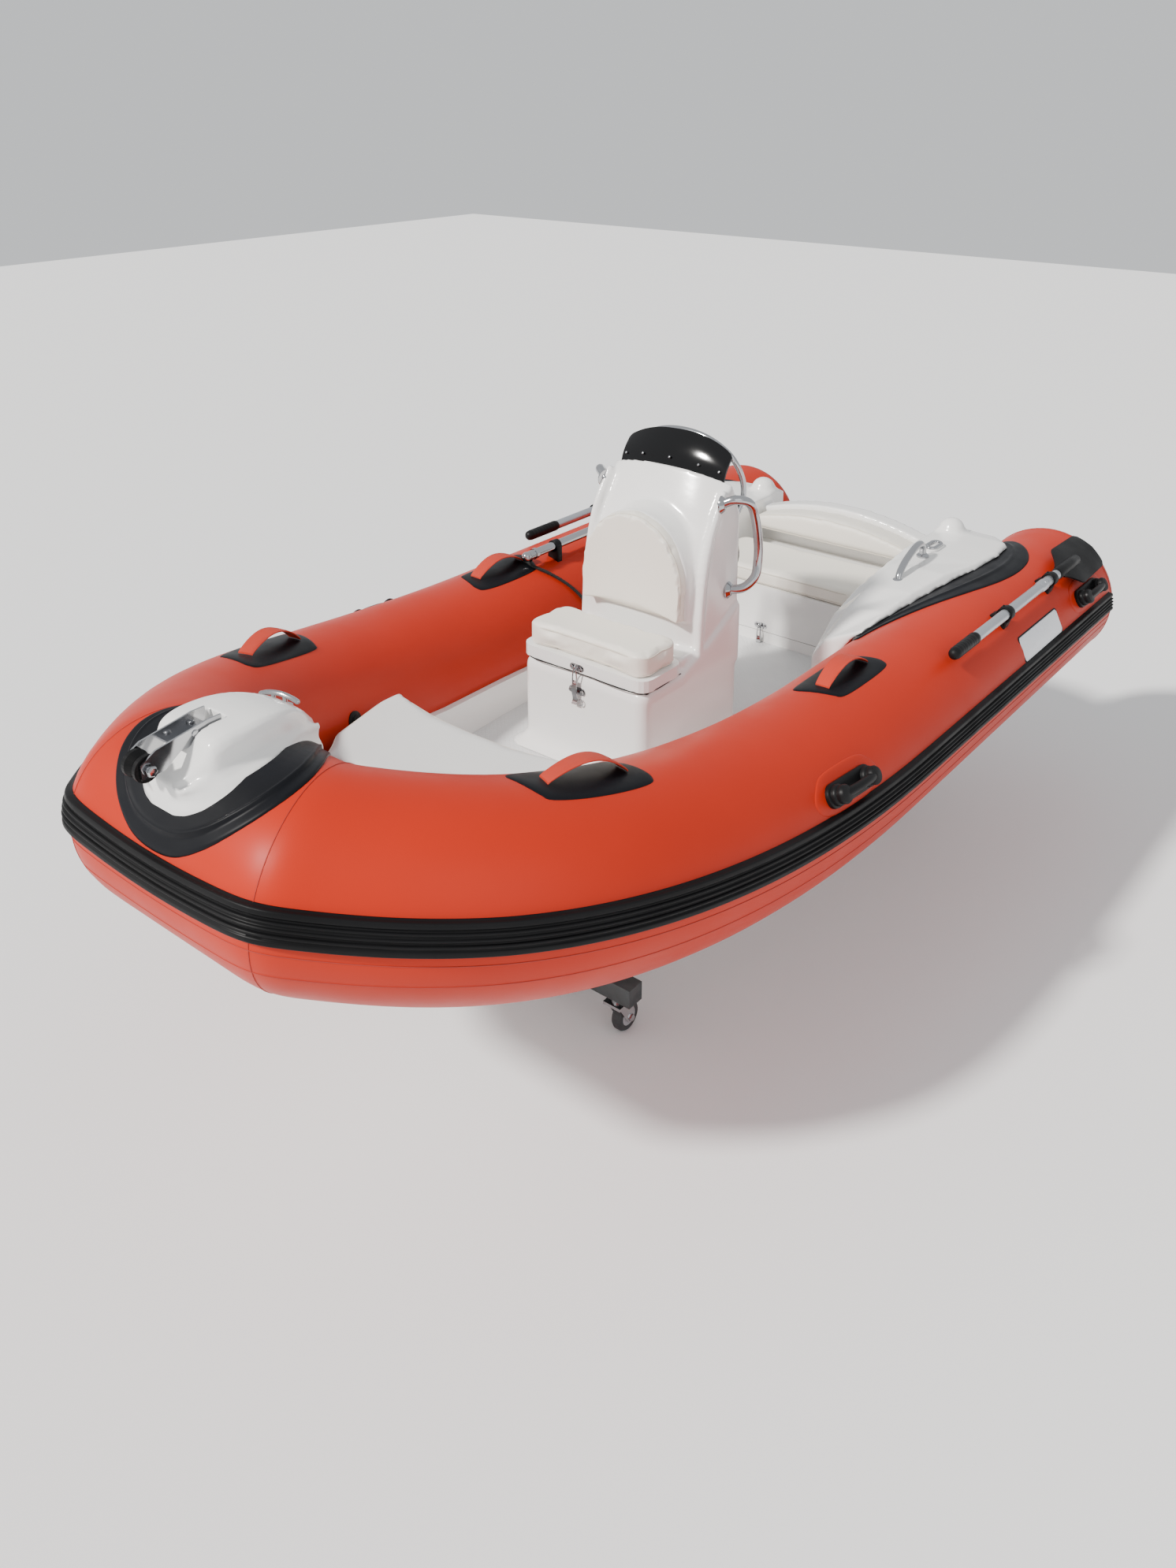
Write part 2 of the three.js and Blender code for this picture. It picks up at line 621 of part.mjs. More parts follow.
// Windscreen: a curved band leaning aft over the console top, with a steel hoop on its edge.
const screenHalf = TOWER_HALF - 24;
const screenY = TOWER_FRONT.at(-1)[0];
const screenLean = 0.62;
const screenBand = (inner) =>
  Array.from({ length: 11 }, (_, i) => -screenHalf + (i / 10) * 2 * screenHalf).map((x) => {
    const edge = Math.abs(x) / screenHalf;
    const y = screenY - 12 * (1 - edge ** 2) + 8 + (inner ? SCREEN_THICK : 0);
    const rise = SCREEN_RISE * (1 - 0.28 * edge ** 3);
    const foot = TOWER_TOP + crown(x) - 40;
    return [v3(x, y - 40 * screenLean, foot), v3(x, y + rise * screenLean, foot + 40 + rise)];
  });
const screen = loft(
  screenBand(false).map(([low, high], i) => {
    const [lowIn, highIn] = screenBand(true)[i];
    return [low, high, highIn, lowIn];
  }),
);
const consoleRoom = union(...[[0, 0, GAP], [0, GAP, 0], [0, -GAP, 0], [0, 0, 0]]
  .map((d) => consoleBody.translate(d)));
const screenClear = screen.subtract(consoleRoom);
place("windscreen", largest(screenClear), SMOKE);

const hoopR = 8;
const hoopPoint = (x, y, z) => v3(x, y, z);
const screenTopY = screenY + SCREEN_RISE * screenLean;
const hoopHalf = [
  [172, towerRear + hoopR + GAP, TOWER_TOP - 96],
  [172, towerRear + 34, TOWER_TOP - 60],
  [168, towerRear + 34, TOWER_TOP - 10],
  [146, screenTopY + 13, TOWER_TOP + 62],
  [80, screenTopY + 12, TOWER_TOP + 102],
];
const hoop = bentTube(
  [
    ...hoopHalf.map(([x, y, z]) => hoopPoint(-x, y, z)),
    hoopPoint(0, screenTopY + 11, TOWER_TOP + 116),
    ...hoopHalf.toReversed().map(([x, y, z]) => hoopPoint(x, y, z)),
  ],
  hoopR, 32, 8,
).subtract(union(consoleRoom, grown(screen)));
place("screen_hoop", largest(hoop), STEEL);

const railX = CONSOLE_HALF + 42;
const rail = bentTube(
  [
    v3(TOWER_HALF - 6, 330, 560), v3(TOWER_HALF + 30, 345, 578), v3(railX, 392, 552),
    v3(railX, 430, 440), v3(railX, 424, 350), v3(TOWER_HALF + 32, 396, 322),
    v3(TOWER_HALF - 6, 372, 316),
  ],
  RAIL_R, 26, 10,
).subtract(union(consoleRoom, consoleBody.translate([GAP, 0, 0])));
placePair("console_rail", largest(rail), STEEL);

// Steering wheel: rim, three spokes and a boss that turns on the helm shaft.
const wheelFrame = new THREE.Matrix4().makeBasis(
  v3(1, 0, 0), v3(0, -Math.sin(WHEEL_RAKE), Math.cos(WHEEL_RAKE)).negate(), helmAxis,
).setPosition(wheelCentre);
const spoke = (a) => {
  const s = bar(v3(16 * Math.cos(a), 16 * Math.sin(a), 0),
    v3((WHEEL_R - 6) * Math.cos(a), (WHEEL_R - 6) * Math.sin(a), 0), 8, 10);
  return s;
};
const hub = solidOf(new THREE.LatheGeometry(
  [[SHAFT_R + 0.6, -16], [36, -16], [36, 12], [24, 22], [0, 22], [0, 16], [SHAFT_R + 0.6, 16],
    [SHAFT_R + 0.6, -16]].map(([r, z]) => new THREE.Vector2(r, z)), 28).rotateX(Math.PI / 2));
const wheelFlat = union(
  solidOf(new THREE.TorusGeometry(WHEEL_R, WHEEL_RIM, 8, 28)),
  hub,
  ...[90, 210, 330].map((d) => spoke(THREE.MathUtils.degToRad(d))),
).subtract(bar(v3(0, 0, -30), v3(0, 0, 16), SHAFT_R + 0.6, 20));
place("steering_wheel", wheelFlat.transform(wheelFrame.toArray()), PLASTIC);

// ---------------------------------------------------------------- stern moulding and bench
const rim = (x) => BACK_TOP - BACK_ARCH * (x / CHEEK_HALF) ** 2;
const archX = Array.from({ length: 13 }, (_, i) => -CHEEK_HALF - 40 + (i / 12) * (2 * CHEEK_HALF + 80));
const backWall = frontPrism(
  [[CHEEK_HALF + 40, soleTop], ...archX.toReversed().map((x) => [x, rim(x)]), [-CHEEK_HALF - 40, soleTop]],
  BACK_Y, BACK_Y + BACK_THICK,
);
// Each cheek stands on the sole, leans against the tube and spreads over its top.
const cheekFront = 640;
const cheekSections = [
  // y, top height at the inside, outside reach, height at the outside
  [cheekFront, 60, 470, 176], [760, 150, 478, 196], [900, 190, 490, 212], [1060, 208, 515, 226],
  [1200, DECK_TOP - 2, 545, DECK_TOP - 2], [1330, DECK_TOP, 560, DECK_TOP],
  [1430, DECK_TOP, 545, DECK_TOP], [1490, DECK_TOP - 6, 490, DECK_TOP - 6],
];
const cheek = loft(
  cheekSections.map(([y, inside, reach, outside]) => [
    v3(CHEEK_HALF, y, soleTop), v3(reach, y, soleTop), v3(reach, y, outside - 26),
    v3(reach - 22, y, outside), v3(CHEEK_HALF + 40, y, (inside + outside) / 2 + 4),
    v3(CHEEK_HALF, y, inside),
  ]),
).subtract(fairingRoom);
const cheekBelow = box(0, 700, cheekFront - 1, 1500, -300, 40)
  .subtract(box(0, CHEEK_HALF + CHEEK_WALL + 60, cheekFront - 1, 1500, -300, 40));
const dome = union(
  ball(v3(DOME_AT[0], DOME_AT[1], DECK_TOP + 4), DOME_R),
  bar(v3(DOME_AT[0], DOME_AT[1], DECK_TOP - 20), v3(DOME_AT[0], DOME_AT[1], DECK_TOP + 6), DOME_R + 8, 24),
);
const cheekFull = union(cheek.subtract(cheekBelow), dome).subtract(fairingRoom);
const wellDeck = box(-CHEEK_HALF - 20, CHEEK_HALF + 20, BACK_Y + BACK_THICK - 2, HULL_Y - 34, soleTop, 20);
const linerX = HALF_BEAM - LINER_INSET - LINER_THICK - GAP;
const linerRoom = union(
  box(linerX, 700, 0, HULL_Y + 100, -300, LINER_TOP + GAP),
  box(-700, -linerX, 0, HULL_Y + 100, -300, LINER_TOP + GAP),
  box(-700, 700, HULL_Y - 30 - GAP, HULL_Y + 100, -300, LINER_TOP + GAP),
);
const sternBody = largest(
  union(backWall, wellDeck, cheekFull, mirrored(cheekFull)).subtract(union(fairingRoom, linerRoom)),
);
place("stern_moulding", sternBody, GELCOAT);

const sternGasketPlan = [
  [440, 590], [474, 606], [526, 800], [590, 1010], [628, 1160], [640, 1290], [622, 1400],
  [572, 1482], [500, 1540], [430, 1548], [400, 1500], [400, 700],
];
const sternGasket = gasketSkin.intersect(prism(sternGasketPlan, 60, 400)).subtract(tubeRoom);
placePair("stern_gasket", sternGasket, RUBBER);

const benchHalf = CHEEK_HALF - SWING;
const benchBox = union(
  box(-benchHalf, benchHalf, BENCH_Y + 24, BACK_Y - GAP, soleTop, BENCH_TOP),
  box(-benchHalf, benchHalf, BENCH_Y, BENCH_Y + 25, soleTop, APRON_BOTTOM - 2),
  box(-benchHalf, benchHalf, BENCH_HINGE_Y + SWING, BACK_Y - GAP, soleTop, BENCH_TOP + BENCH_LID),
).subtract(box(-benchHalf + WALL, benchHalf - WALL, BENCH_Y + 24 + WALL, BENCH_HINGE_Y - 20,
  soleTop + WALL, BENCH_TOP + 60));
place("bench_box", benchBox, GELCOAT);

const benchLid = sidePrism(
  [
    [BENCH_Y, APRON_BOTTOM], [BENCH_Y + 24 - 2 * GAP - 1, APRON_BOTTOM],
    [BENCH_Y + 24 - 2 * GAP - 1, BENCH_TOP + GAP], [BENCH_HINGE_Y, BENCH_TOP + GAP],
    [BENCH_HINGE_Y, BENCH_TOP + BENCH_LID], [BENCH_Y, BENCH_TOP + BENCH_LID],
  ],
  -benchHalf, benchHalf,
);
place("bench_lid", benchLid, GELCOAT);
const benchPadBottom = BENCH_TOP + BENCH_LID + GAP;
const benchPad = prism(
  roundedPlan(-benchHalf + 4, benchHalf - 4, BENCH_Y - 6, BENCH_HINGE_Y - 8, 26),
  benchPadBottom, benchPadBottom + BENCH_PAD,
);
place("bench_cushion", benchPad, VINYL);

const BACK_PAD = 100;
const backPadFront = BACK_Y - GAP - BACK_PAD;
const padX = Array.from({ length: 9 }, (_, i) => -benchHalf + 12 + (i / 8) * (2 * benchHalf - 24));
const backPadBottom = benchPadBottom + BENCH_PAD + 12;
const backPad = frontPrism(
  [[benchHalf - 12, backPadBottom], ...padX.toReversed().map((x) => [x, rim(x) - 12]),
    [-benchHalf + 12, backPadBottom]],
  backPadFront, BACK_Y - GAP,
).subtract(sidePrism([[backPadFront - 1, backPadBottom - 1], [backPadFront + 14, backPadBottom - 1],
  [backPadFront - 1, backPadBottom + 14]], -400, 400));
place("bench_back_cushion", backPad, VINYL);

// Grab handle bent over each stern cheek.
const sternHandle = bentTube(
  [
    v3(392, 970, 200), v3(389, 990, 234), v3(385, 1050, 262), v3(381, 1110, 275),
    v3(378, 1148, 266), v3(377, 1162, 218),
  ],
  11, 22, 10,
).subtract(union(sternBody, sternBody.translate([0, 0, GAP]), fairingRoom));
placePair("stern_handle", largest(sternHandle), STEEL);

// ---------------------------------------------------------------- handles on the tube
// A point on the port tube: y, degrees above level and distance from the axis.
function onTube(y, degrees, r) {
  const a = THREE.MathUtils.degToRad(degrees);
  const step = 2;
  const t = v3(axisX(y + step) - axisX(y - step), 2 * step, sheer(y + step) - sheer(y - step)).normalize();
  const out = t.clone().cross(v3(0, 0, 1)).normalize();
  const up = out.clone().cross(t);
  return v3(axisX(y), y, sheer(y))
    .addScaledVector(out, r * Math.cos(a))
    .addScaledVector(up, r * Math.sin(a));
}

// Webbing loop: a strap that leaves the tube, arches and comes back.
function webbing(y, spanLength, angle) {
  const width = 0.5 * 36;
  const thick = 4;
  const lift = [1, 10, 26, 36, 40, 36, 26, 10, 1];
  const rings = lift.map((h, i) => {
    const at = y + (i / (lift.length - 1) - 0.5) * spanLength;
    const spread = THREE.MathUtils.radToDeg(width / TUBE_R);
    const r = TUBE_R + 2 + h;
    return [
      onTube(at, angle - spread, r), onTube(at, angle + spread, r),
      onTube(at, angle + spread, r + thick), onTube(at, angle - spread, r + thick),
    ];
  });
  return loft(rings).subtract(tubeRoom);
}
placePair("front_handle", webbing(-632, 186, 92), ORANGE);
placePair("middle_handle", webbing(300, 198, 92), ORANGE);

// Moulded carrying handle: a base that follows the tube and a bow over it.
function carryHandle(y) {
  const angle = 28;
  const half = THREE.MathUtils.radToDeg(22 / TUBE_R);
  const base = (at, w, r0, r1) => [
    onTube(at, angle - half * w, r0), onTube(at, angle + half * w, r0),
    onTube(at, angle + half * w, r1), onTube(at, angle - half * w, r1),
  ];
  const low = TUBE_R + GAP;
  const plate = loft([
    base(y - 92, 0.5, low, low + 8), base(y - 70, 1.1, low, low + 14),
    base(y, 1.1, low, low + 12), base(y + 70, 1.1, low, low + 14), base(y + 92, 0.5, low, low + 8),
  ]);
  const bow = loft([
    base(y - 78, 0.7, low, low + 14), base(y - 56, 0.6, low + 26, low + 42),
    base(y, 0.6, low + 32, low + 48), base(y + 56, 0.6, low + 26, low + 42),
    base(y + 78, 0.7, low, low + 14),
  ]);
  return union(plate, bow).subtract(tubeRoom);
}
placePair("carry_handle_fore", carryHandle(0), PLASTIC);
placePair("carry_handle_aft", carryHandle(1500), PLASTIC);

// ---------------------------------------------------------------- oars and stowed pole
const oarAxis = TUBE_R + 34;
const oar = (() => {
  const at = (y, r = oarAxis) => onTube(y, OAR_ANGLE, r);
  const shaftBody = bar(at(OAR_Y[0]), at(OAR_Y[1] - 90), OAR_R, 16);
  const grip = bar(at(OAR_Y[0] - 4), at(OAR_Y[0] + 120), OAR_R + 3.5, 16);
  const clip = (y) => {
    const half = THREE.MathUtils.radToDeg(20 / TUBE_R);
    const ring = (yy) => [
      onTube(yy, OAR_ANGLE - half, TUBE_R + GAP), onTube(yy, OAR_ANGLE + half, TUBE_R + GAP),
      onTube(yy, OAR_ANGLE + half, oarAxis + 20), onTube(yy, OAR_ANGLE - half, oarAxis + 20),
    ];
    return loft([ring(y - 14), ring(y + 14)]);
  };
  const blade = (y, w, r0 = oarAxis - 7, r1 = oarAxis + 7) => {
    const half = THREE.MathUtils.radToDeg(w / oarAxis);
    return [
      onTube(y, OAR_ANGLE - half, r0), onTube(y, OAR_ANGLE + half, r0),
      onTube(y, OAR_ANGLE + half, r1), onTube(y, OAR_ANGLE - half, r1),
    ];
  };
  const bladeBody = loft([
    blade(OAR_Y[1] - 300, 14), blade(OAR_Y[1] - 260, 34), blade(OAR_Y[1] - 200, 62),
    blade(OAR_Y[1] - 60, 74), blade(OAR_Y[1], 56),
  ]);
  return union(shaftBody, grip, clip(960), clip(1290), bladeBody).subtract(tubeRoom);
})();
placePair("oar", oar, ALLOY);

const poleZ = TUBE_R + POLE_R + 18;
const poleSeat = (y) =>
  box(POLE_X - 22, POLE_X + 22, y - 12, y + 12, 120, poleZ + POLE_R + 4).subtract(tubeRoom);
const pole = union(
  bar(v3(POLE_X, POLE_Y[0], poleZ), v3(POLE_X, POLE_Y[1], poleZ), POLE_R, 20),
  ball(v3(POLE_X, POLE_Y[0], poleZ), POLE_R + 1.5),
  poleSeat(POLE_Y[0] + 130),
  poleSeat(POLE_Y[0] + 420),
).subtract(fairingRoom.intersect(box(-700, 0, 600, 1700, -400, 400)));
const poleClear = pole.subtract(union(mirrored(sternHandle), sternBody));
place("stowed_pole", largest(poleClear), STEEL);

// ---------------------------------------------------------------- cradle and castors
const floorZ = -TUBE_AXIS_HEIGHT;
const beamBottom = floorZ + CASTOR_HEIGHT + GAP;
const beamTop = beamBottom + BEAM;
const POST_X = 250;
const hullRoom = hullBlock.translate([0, 0, -GAP]);
function crossBeam(y) {
  const post = (x) => box(x - 20, x + 20, y - BEAM / 2, y + BEAM / 2, beamTop - 5, 0);
  const bunk = (x) => box(x - 42, x + 42, y - 60, y + 60, -420, 0);
  const deck = box(-CASTOR_X - 50, CASTOR_X + 50, y - BEAM / 2, y + BEAM / 2, beamBottom, beamTop);
  const rise = union(post(POST_X), post(-POST_X));
  const shape = hullBlock.translate([0, 0, -GAP - 16]);
  const padsOnly = union(bunk(POST_X), bunk(-POST_X)).intersect(shape);
  return union(deck, rise, padsOnly).subtract(union(hullBlock, hullRoom, tubeRoom,
    box(-600, 600, -1300, 1700, -212, 0)));
}
CROSS_Y.forEach((y, i) => place(["cradle_cross_fore", "cradle_cross_aft"][i], crossBeam(y), CRADLE));
const spine = union(
  box(-BEAM / 2, BEAM / 2, CROSS_Y[0] + BEAM / 2 + GAP, CROSS_Y[1] - BEAM / 2 - GAP, beamBottom, beamTop),
  ...[CROSS_Y[0] + 120, CROSS_Y[1] - 120].map((y) => box(-30, 30, y - 60, y + 60, beamTop - 4, KEEL_Z + 60)),
).subtract(union(hullBlock, hullRoom));
place("cradle_spine", spine, CRADLE);

const axleZ = floorZ + CASTOR_R;
function castor(x, y) {
  const cheekAt = (side) => {
    const inner = CASTOR_WIDTH / 2 + 3;
    const [x0, x1] = side > 0 ? [x + inner, x + inner + 4] : [x - inner - 4, x - inner];
    return sidePrism(
      [
        [y + CASTOR_TRAIL - 10, axleZ - 10], [y + CASTOR_TRAIL + 10, axleZ - 10],
        [y + CASTOR_TRAIL + 14, axleZ + 10], [y + 26, floorZ + CASTOR_HEIGHT - 14],
        [y - 26, floorZ + CASTOR_HEIGHT - 14],
      ],
      x0, x1,
    );
  };
  const reach = CASTOR_WIDTH / 2 + 9;
  const fork = union(
    cheekAt(1), cheekAt(-1),
    box(x - 26, x + 26, y - 30, y + 30, floorZ + CASTOR_HEIGHT - 18, floorZ + CASTOR_HEIGHT - 10),
    bar(v3(x, y, floorZ + CASTOR_HEIGHT - 12), v3(x, y, floorZ + CASTOR_HEIGHT), 20, 20),
    bar(v3(x - reach, y + CASTOR_TRAIL, axleZ), v3(x + reach, y + CASTOR_TRAIL, axleZ), AXLE_R, 16),
  );
  const half = CASTOR_WIDTH / 2;
  const tyre = new THREE.LatheGeometry(
    [[bore, -half], [CASTOR_R - 4, -half], [CASTOR_R, -half + 6], [CASTOR_R, half - 6],
      [CASTOR_R - 4, half], [bore, half], [bore, -half]].map(([r, w]) => new THREE.Vector2(r, w)),
    32,
  );
  const wheel = solidOf(tyre.rotateY(Math.PI / 32).rotateZ(-Math.PI / 2).translate(x, y + CASTOR_TRAIL, axleZ));
  return { fork, wheel };
}
CROSS_Y.forEach((y, i) => {
  const { fork, wheel } = castor(CASTOR_X, y);
  placePair(["castor_fork_fore", "castor_fork_aft"][i], fork, STEEL);
  placePair(["castor_wheel_fore", "castor_wheel_aft"][i], wheel, RUBBER);
});

// ---------------------------------------------------------------- painter line
// Its route by hand, in the boat's own axes: from the middle starboard handle under the pole,
// down the inside of the tube, over the liner and across the sole to the coil.
const painterRoute = [
  [-553, 407, 217], [-523, 395, 211], [-498, 402, 202], [-471, 420, 188], [-427, 452, 154],
  [-392, 480, 110], [-371, 503, 58], [-361, 522, 14], [-351, 536, -1], [-339, 546, -12],
  [-336, 556, -38], [-333, 566, -72], [-318, 578, -92], [-286, 592, -94.6], [-240, 618, -94.6],
  [-200, 635, -94.6], [-168, 640, -94.6],
];
const COIL_BAND = [30, 28]; // width and height of the wound turns
const coilOuter = COIL_D / 2 + COIL_BAND[0] / 2;
const coilInner = coilOuter - COIL_BAND[0];
const ropeEnd = v3(COIL_AT[0] - coilOuter - GAP, COIL_AT[1], painterRoute.at(-1)[2]);
const painterPath = new THREE.CatmullRomCurve3(
  [...painterRoute.map((p) => v3(...p)), ropeEnd], false, "centripetal",
);
const painter = new THREE.ExtrudeGeometry(new THREE.Shape().absarc(0, 0, ROPE_D / 2, 0, Math.PI * 2), {
  steps: 44,
  curveSegments: 4,
  extrudePath: painterPath,
  bevelEnabled: false,
});
place("painter_line", solidOf(painter), CORD);
const coilBottom = soleTop;
const coil = new THREE.LatheGeometry(
  [[coilInner, 6], [coilInner + 8, 0], [coilOuter, 0], [coilOuter, COIL_BAND[1] - 6],
    [coilOuter - 8, COIL_BAND[1]], [coilInner, COIL_BAND[1]], [coilInner, 6],
  ].map(([r, z]) => new THREE.Vector2(r, z)),
  28,
);
coil.rotateX(Math.PI / 2).translate(COIL_AT[0], COIL_AT[1], coilBottom);
place("painter_coil", solidOf(coil), CORD);

// ---------------------------------------------------------------- stand it in its own frame
const lengthCentre = (STERN_Y + CONE_LENGTH + ROLLER_AT.y - ROLLER_R) / 2;
group.position.set(0, -lengthCentre, TUBE_AXIS_HEIGHT);

export default group;
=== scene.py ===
"""Rigid inflatable dinghy on its wheeled cradle: its looks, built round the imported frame.

Pieces are drawn in the boat's own axes, in metres: +X port, +Y aft, +Z up, with z = 0 on the axis
of the buoyancy tube at the stern. Every mesh is lifted into the frame as it is made.
"""

from __future__ import annotations

import json
import logging
import math
from dataclasses import dataclass, field
from enum import Enum
from functools import partial
from typing import Callable, Sequence

import bmesh
import bpy
from mathutils import Matrix, Vector
from mathutils.bvhtree import BVHTree

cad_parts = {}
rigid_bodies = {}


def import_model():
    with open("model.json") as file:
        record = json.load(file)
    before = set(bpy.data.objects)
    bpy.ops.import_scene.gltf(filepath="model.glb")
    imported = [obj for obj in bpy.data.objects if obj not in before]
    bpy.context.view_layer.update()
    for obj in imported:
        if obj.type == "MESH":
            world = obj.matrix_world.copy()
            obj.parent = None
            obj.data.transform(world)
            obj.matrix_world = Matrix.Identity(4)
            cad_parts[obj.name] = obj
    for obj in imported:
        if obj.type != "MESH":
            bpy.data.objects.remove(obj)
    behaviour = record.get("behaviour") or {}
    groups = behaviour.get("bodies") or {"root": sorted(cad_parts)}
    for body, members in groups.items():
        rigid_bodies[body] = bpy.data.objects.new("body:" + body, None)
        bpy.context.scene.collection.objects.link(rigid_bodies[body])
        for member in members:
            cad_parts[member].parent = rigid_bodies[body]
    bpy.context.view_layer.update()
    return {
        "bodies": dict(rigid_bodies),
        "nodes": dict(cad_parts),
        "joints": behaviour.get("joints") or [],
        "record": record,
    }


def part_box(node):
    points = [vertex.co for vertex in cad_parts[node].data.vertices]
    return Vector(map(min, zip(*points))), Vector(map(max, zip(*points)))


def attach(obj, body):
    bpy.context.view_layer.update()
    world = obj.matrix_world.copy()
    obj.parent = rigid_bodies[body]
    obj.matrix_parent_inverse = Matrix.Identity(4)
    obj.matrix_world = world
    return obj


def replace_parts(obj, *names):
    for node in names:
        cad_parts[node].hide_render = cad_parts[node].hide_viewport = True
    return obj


log = logging.getLogger("dinghy")

LIFT = Vector((0.0, -0.2465, 0.635))  # boat axes to frame
UP = Vector((0.0, 0.0, 1.0))
BOAT = "boat"

Point = Sequence[float]
Ring = list[Vector]
Outline = list[tuple[float, float]]
Frame = tuple[Vector, Vector, Vector, Vector]
Section = Callable[[float, float], Outline]


# ------------------------------------------------------------------ finishes
class Grain(Enum):
    """The fine relief of a finish."""

    FINE = "fine"
    LEATHER = "leather"
    WEAVE = "weave"
    BRUSHED = "brushed"
    PEEL = "peel"
    TREAD = "tread"


@dataclass(frozen=True)
class Finish:
    """A material with its colour drift, wear and fine relief.

    The sizes are in metres; `drift` is how far the colour strays, `scuff` how far the roughness does.
    """

    name: str
    slot: str
    colour: tuple[float, float, float]
    roughness: float
    metallic: float = 0.0
    coat: float = 0.0
    specular: float = 0.5
    drift: float = 0.06
    drift_size: float = 0.25
    scuff: float = 0.08
    grain: Grain = Grain.FINE
    grain_size: float = 0.001
    grain_depth: float = 0.0001

    def material(self) -> bpy.types.Material:
        """The Blender material, made once."""
        made = bpy.data.materials.get(self.name)
        return made or self._build()

    def _build(self) -> bpy.types.Material:
        """Build the node tree: drift to colour, scuff to roughness and grain to bump.

        Returns:
            The material.
        """
        material = bpy.data.materials.new(self.name)
        material.use_nodes = True
        tree = material.node_tree
        shader = tree.nodes["Principled BSDF"]
        shader.inputs["Metallic"].default_value = self.metallic
        shader.inputs["Coat Weight"].default_value = self.coat
        shader.inputs["Coat Roughness"].default_value = 0.12
        shader.inputs["Specular IOR Level"].default_value = self.specular
        place = tree.nodes.new("ShaderNodeTexCoord").outputs["Object"]
        self._colour(tree, place, shader)
        self._scuff(tree, place, shader)
        self._relief(tree, place, shader)
        return material

    def _colour(self, tree: bpy.types.NodeTree, place: bpy.types.NodeSocket,
                shader: bpy.types.Node) -> None:
        """Let the colour drift slowly between a darker and a lighter shade.

        Args:
            tree: the material's nodes.
            place: object coordinates.
            shader: the surface shader.
        """
        noise = _noise(tree, place, 1 / self.drift_size, detail=4)
        ramp = tree.nodes.new("ShaderNodeValToRGB")
        low, high = ramp.color_ramp.elements
        low.position, high.position = 0.3, 0.7
        low.color = (*(c * (1 - self.drift) for c in self.colour), 1)
        high.color = (*(min(1.0, c * (1 + self.drift)) for c in self.colour), 1)
        tree.links.new(noise, ramp.inputs["Fac"])
        tree.links.new(ramp.outputs["Color"], shader.inputs["Base Color"])

    def _scuff(self, tree: bpy.types.NodeTree, place: bpy.types.NodeSocket,
               shader: bpy.types.Node) -> None:
        """Vary the roughness in patches, as handling does.

        Args:
            tree: the material's nodes.
            place: object coordinates.
            shader: the surface shader.
        """
        noise = _noise(tree, place, 3.1 / self.drift_size, detail=6)
        spread = tree.nodes.new("ShaderNodeMapRange")
        spread.inputs["From Min"].default_value = 0.3
        spread.inputs["From Max"].default_value = 0.7
        spread.inputs["To Min"].default_value = max(0.02, self.roughness - self.scuff)
        spread.inputs["To Max"].default_value = min(1.0, self.roughness + self.scuff)
        tree.links.new(noise, spread.inputs["Value"])
        tree.links.new(spread.outputs["Result"], shader.inputs["Roughness"])

    def _relief(self, tree: bpy.types.NodeTree, place: bpy.types.NodeSocket,
                shader: bpy.types.Node) -> None:
        """Add the grain as bump.

        Args:
            tree: the material's nodes.
            place: object coordinates.
            shader: the surface shader.
        """
        height = GRAINS[self.grain](tree, place, 1 / self.grain_size)
        bump = tree.nodes.new("ShaderNodeBump")
        bump.inputs["Strength"].default_value = 1.0
        bump.inputs["Distance"].default_value = self.grain_depth
        tree.links.new(height, bump.inputs["Height"])
        tree.links.new(bump.outputs["Normal"], shader.inputs["Normal"])

    def paint(self, piece: bpy.types.Object) -> None:
        """Give a piece this finish alone.

        Args:
            piece: the piece to paint.
        """
        piece.data.materials.clear()
        piece.data.materials.append(self.material())

    def dress(self, node: bpy.types.Object) -> None:
        """Put this finish in a CAD node's material slots, and smooth its shading by a modifier.

        Args:
            node: the CAD node's object.
        """
        if not node.material_slots:
            node.data.materials.append(self.material())
        for slot in node.material_slots:
            slot.link = "OBJECT"
            slot.material = self.material()
        modifier = node.modifiers.new("soften edges", "BEVEL")
        modifier.width = 0.0012
        modifier.segments = 2
        modifier.limit_method = "ANGLE"
        modifier.angle_limit = math.radians(50)
        shade = node.modifiers.new("shade", "NODES")
        shade.node_group = smooth_by_angle(math.radians(32))


def _noise(tree: bpy.types.NodeTree, place: bpy.types.NodeSocket, scale: float, detail: float = 2.0,
           squash: Point = (1, 1, 1)) -> bpy.types.NodeSocket:
    """A noise texture's value, optionally stretched along an axis.

    Args:
        tree: the material's nodes.
        place: object coordinates.
        scale: grains per metre.
        detail: octaves.
        squash: stretch along each axis.

    Returns:
        The value's socket.
    """
    stretch = tree.nodes.new("ShaderNodeVectorMath")
    stretch.operation = "MULTIPLY"
    stretch.inputs[1].default_value = tuple(squash)
    noise = tree.nodes.new("ShaderNodeTexNoise")
    noise.inputs["Scale"].default_value = scale
    noise.inputs["Detail"].default_value = detail
    tree.links.new(place, stretch.inputs[0])
    tree.links.new(stretch.outputs["Vector"], noise.inputs["Vector"])
    return noise.outputs["Fac"]


def _fine(tree: bpy.types.NodeTree, place: bpy.types.NodeSocket, scale: float) -> bpy.types.NodeSocket:
    """Grain of a calendered or moulded surface."""
    return _noise(tree, place, scale, detail=3)


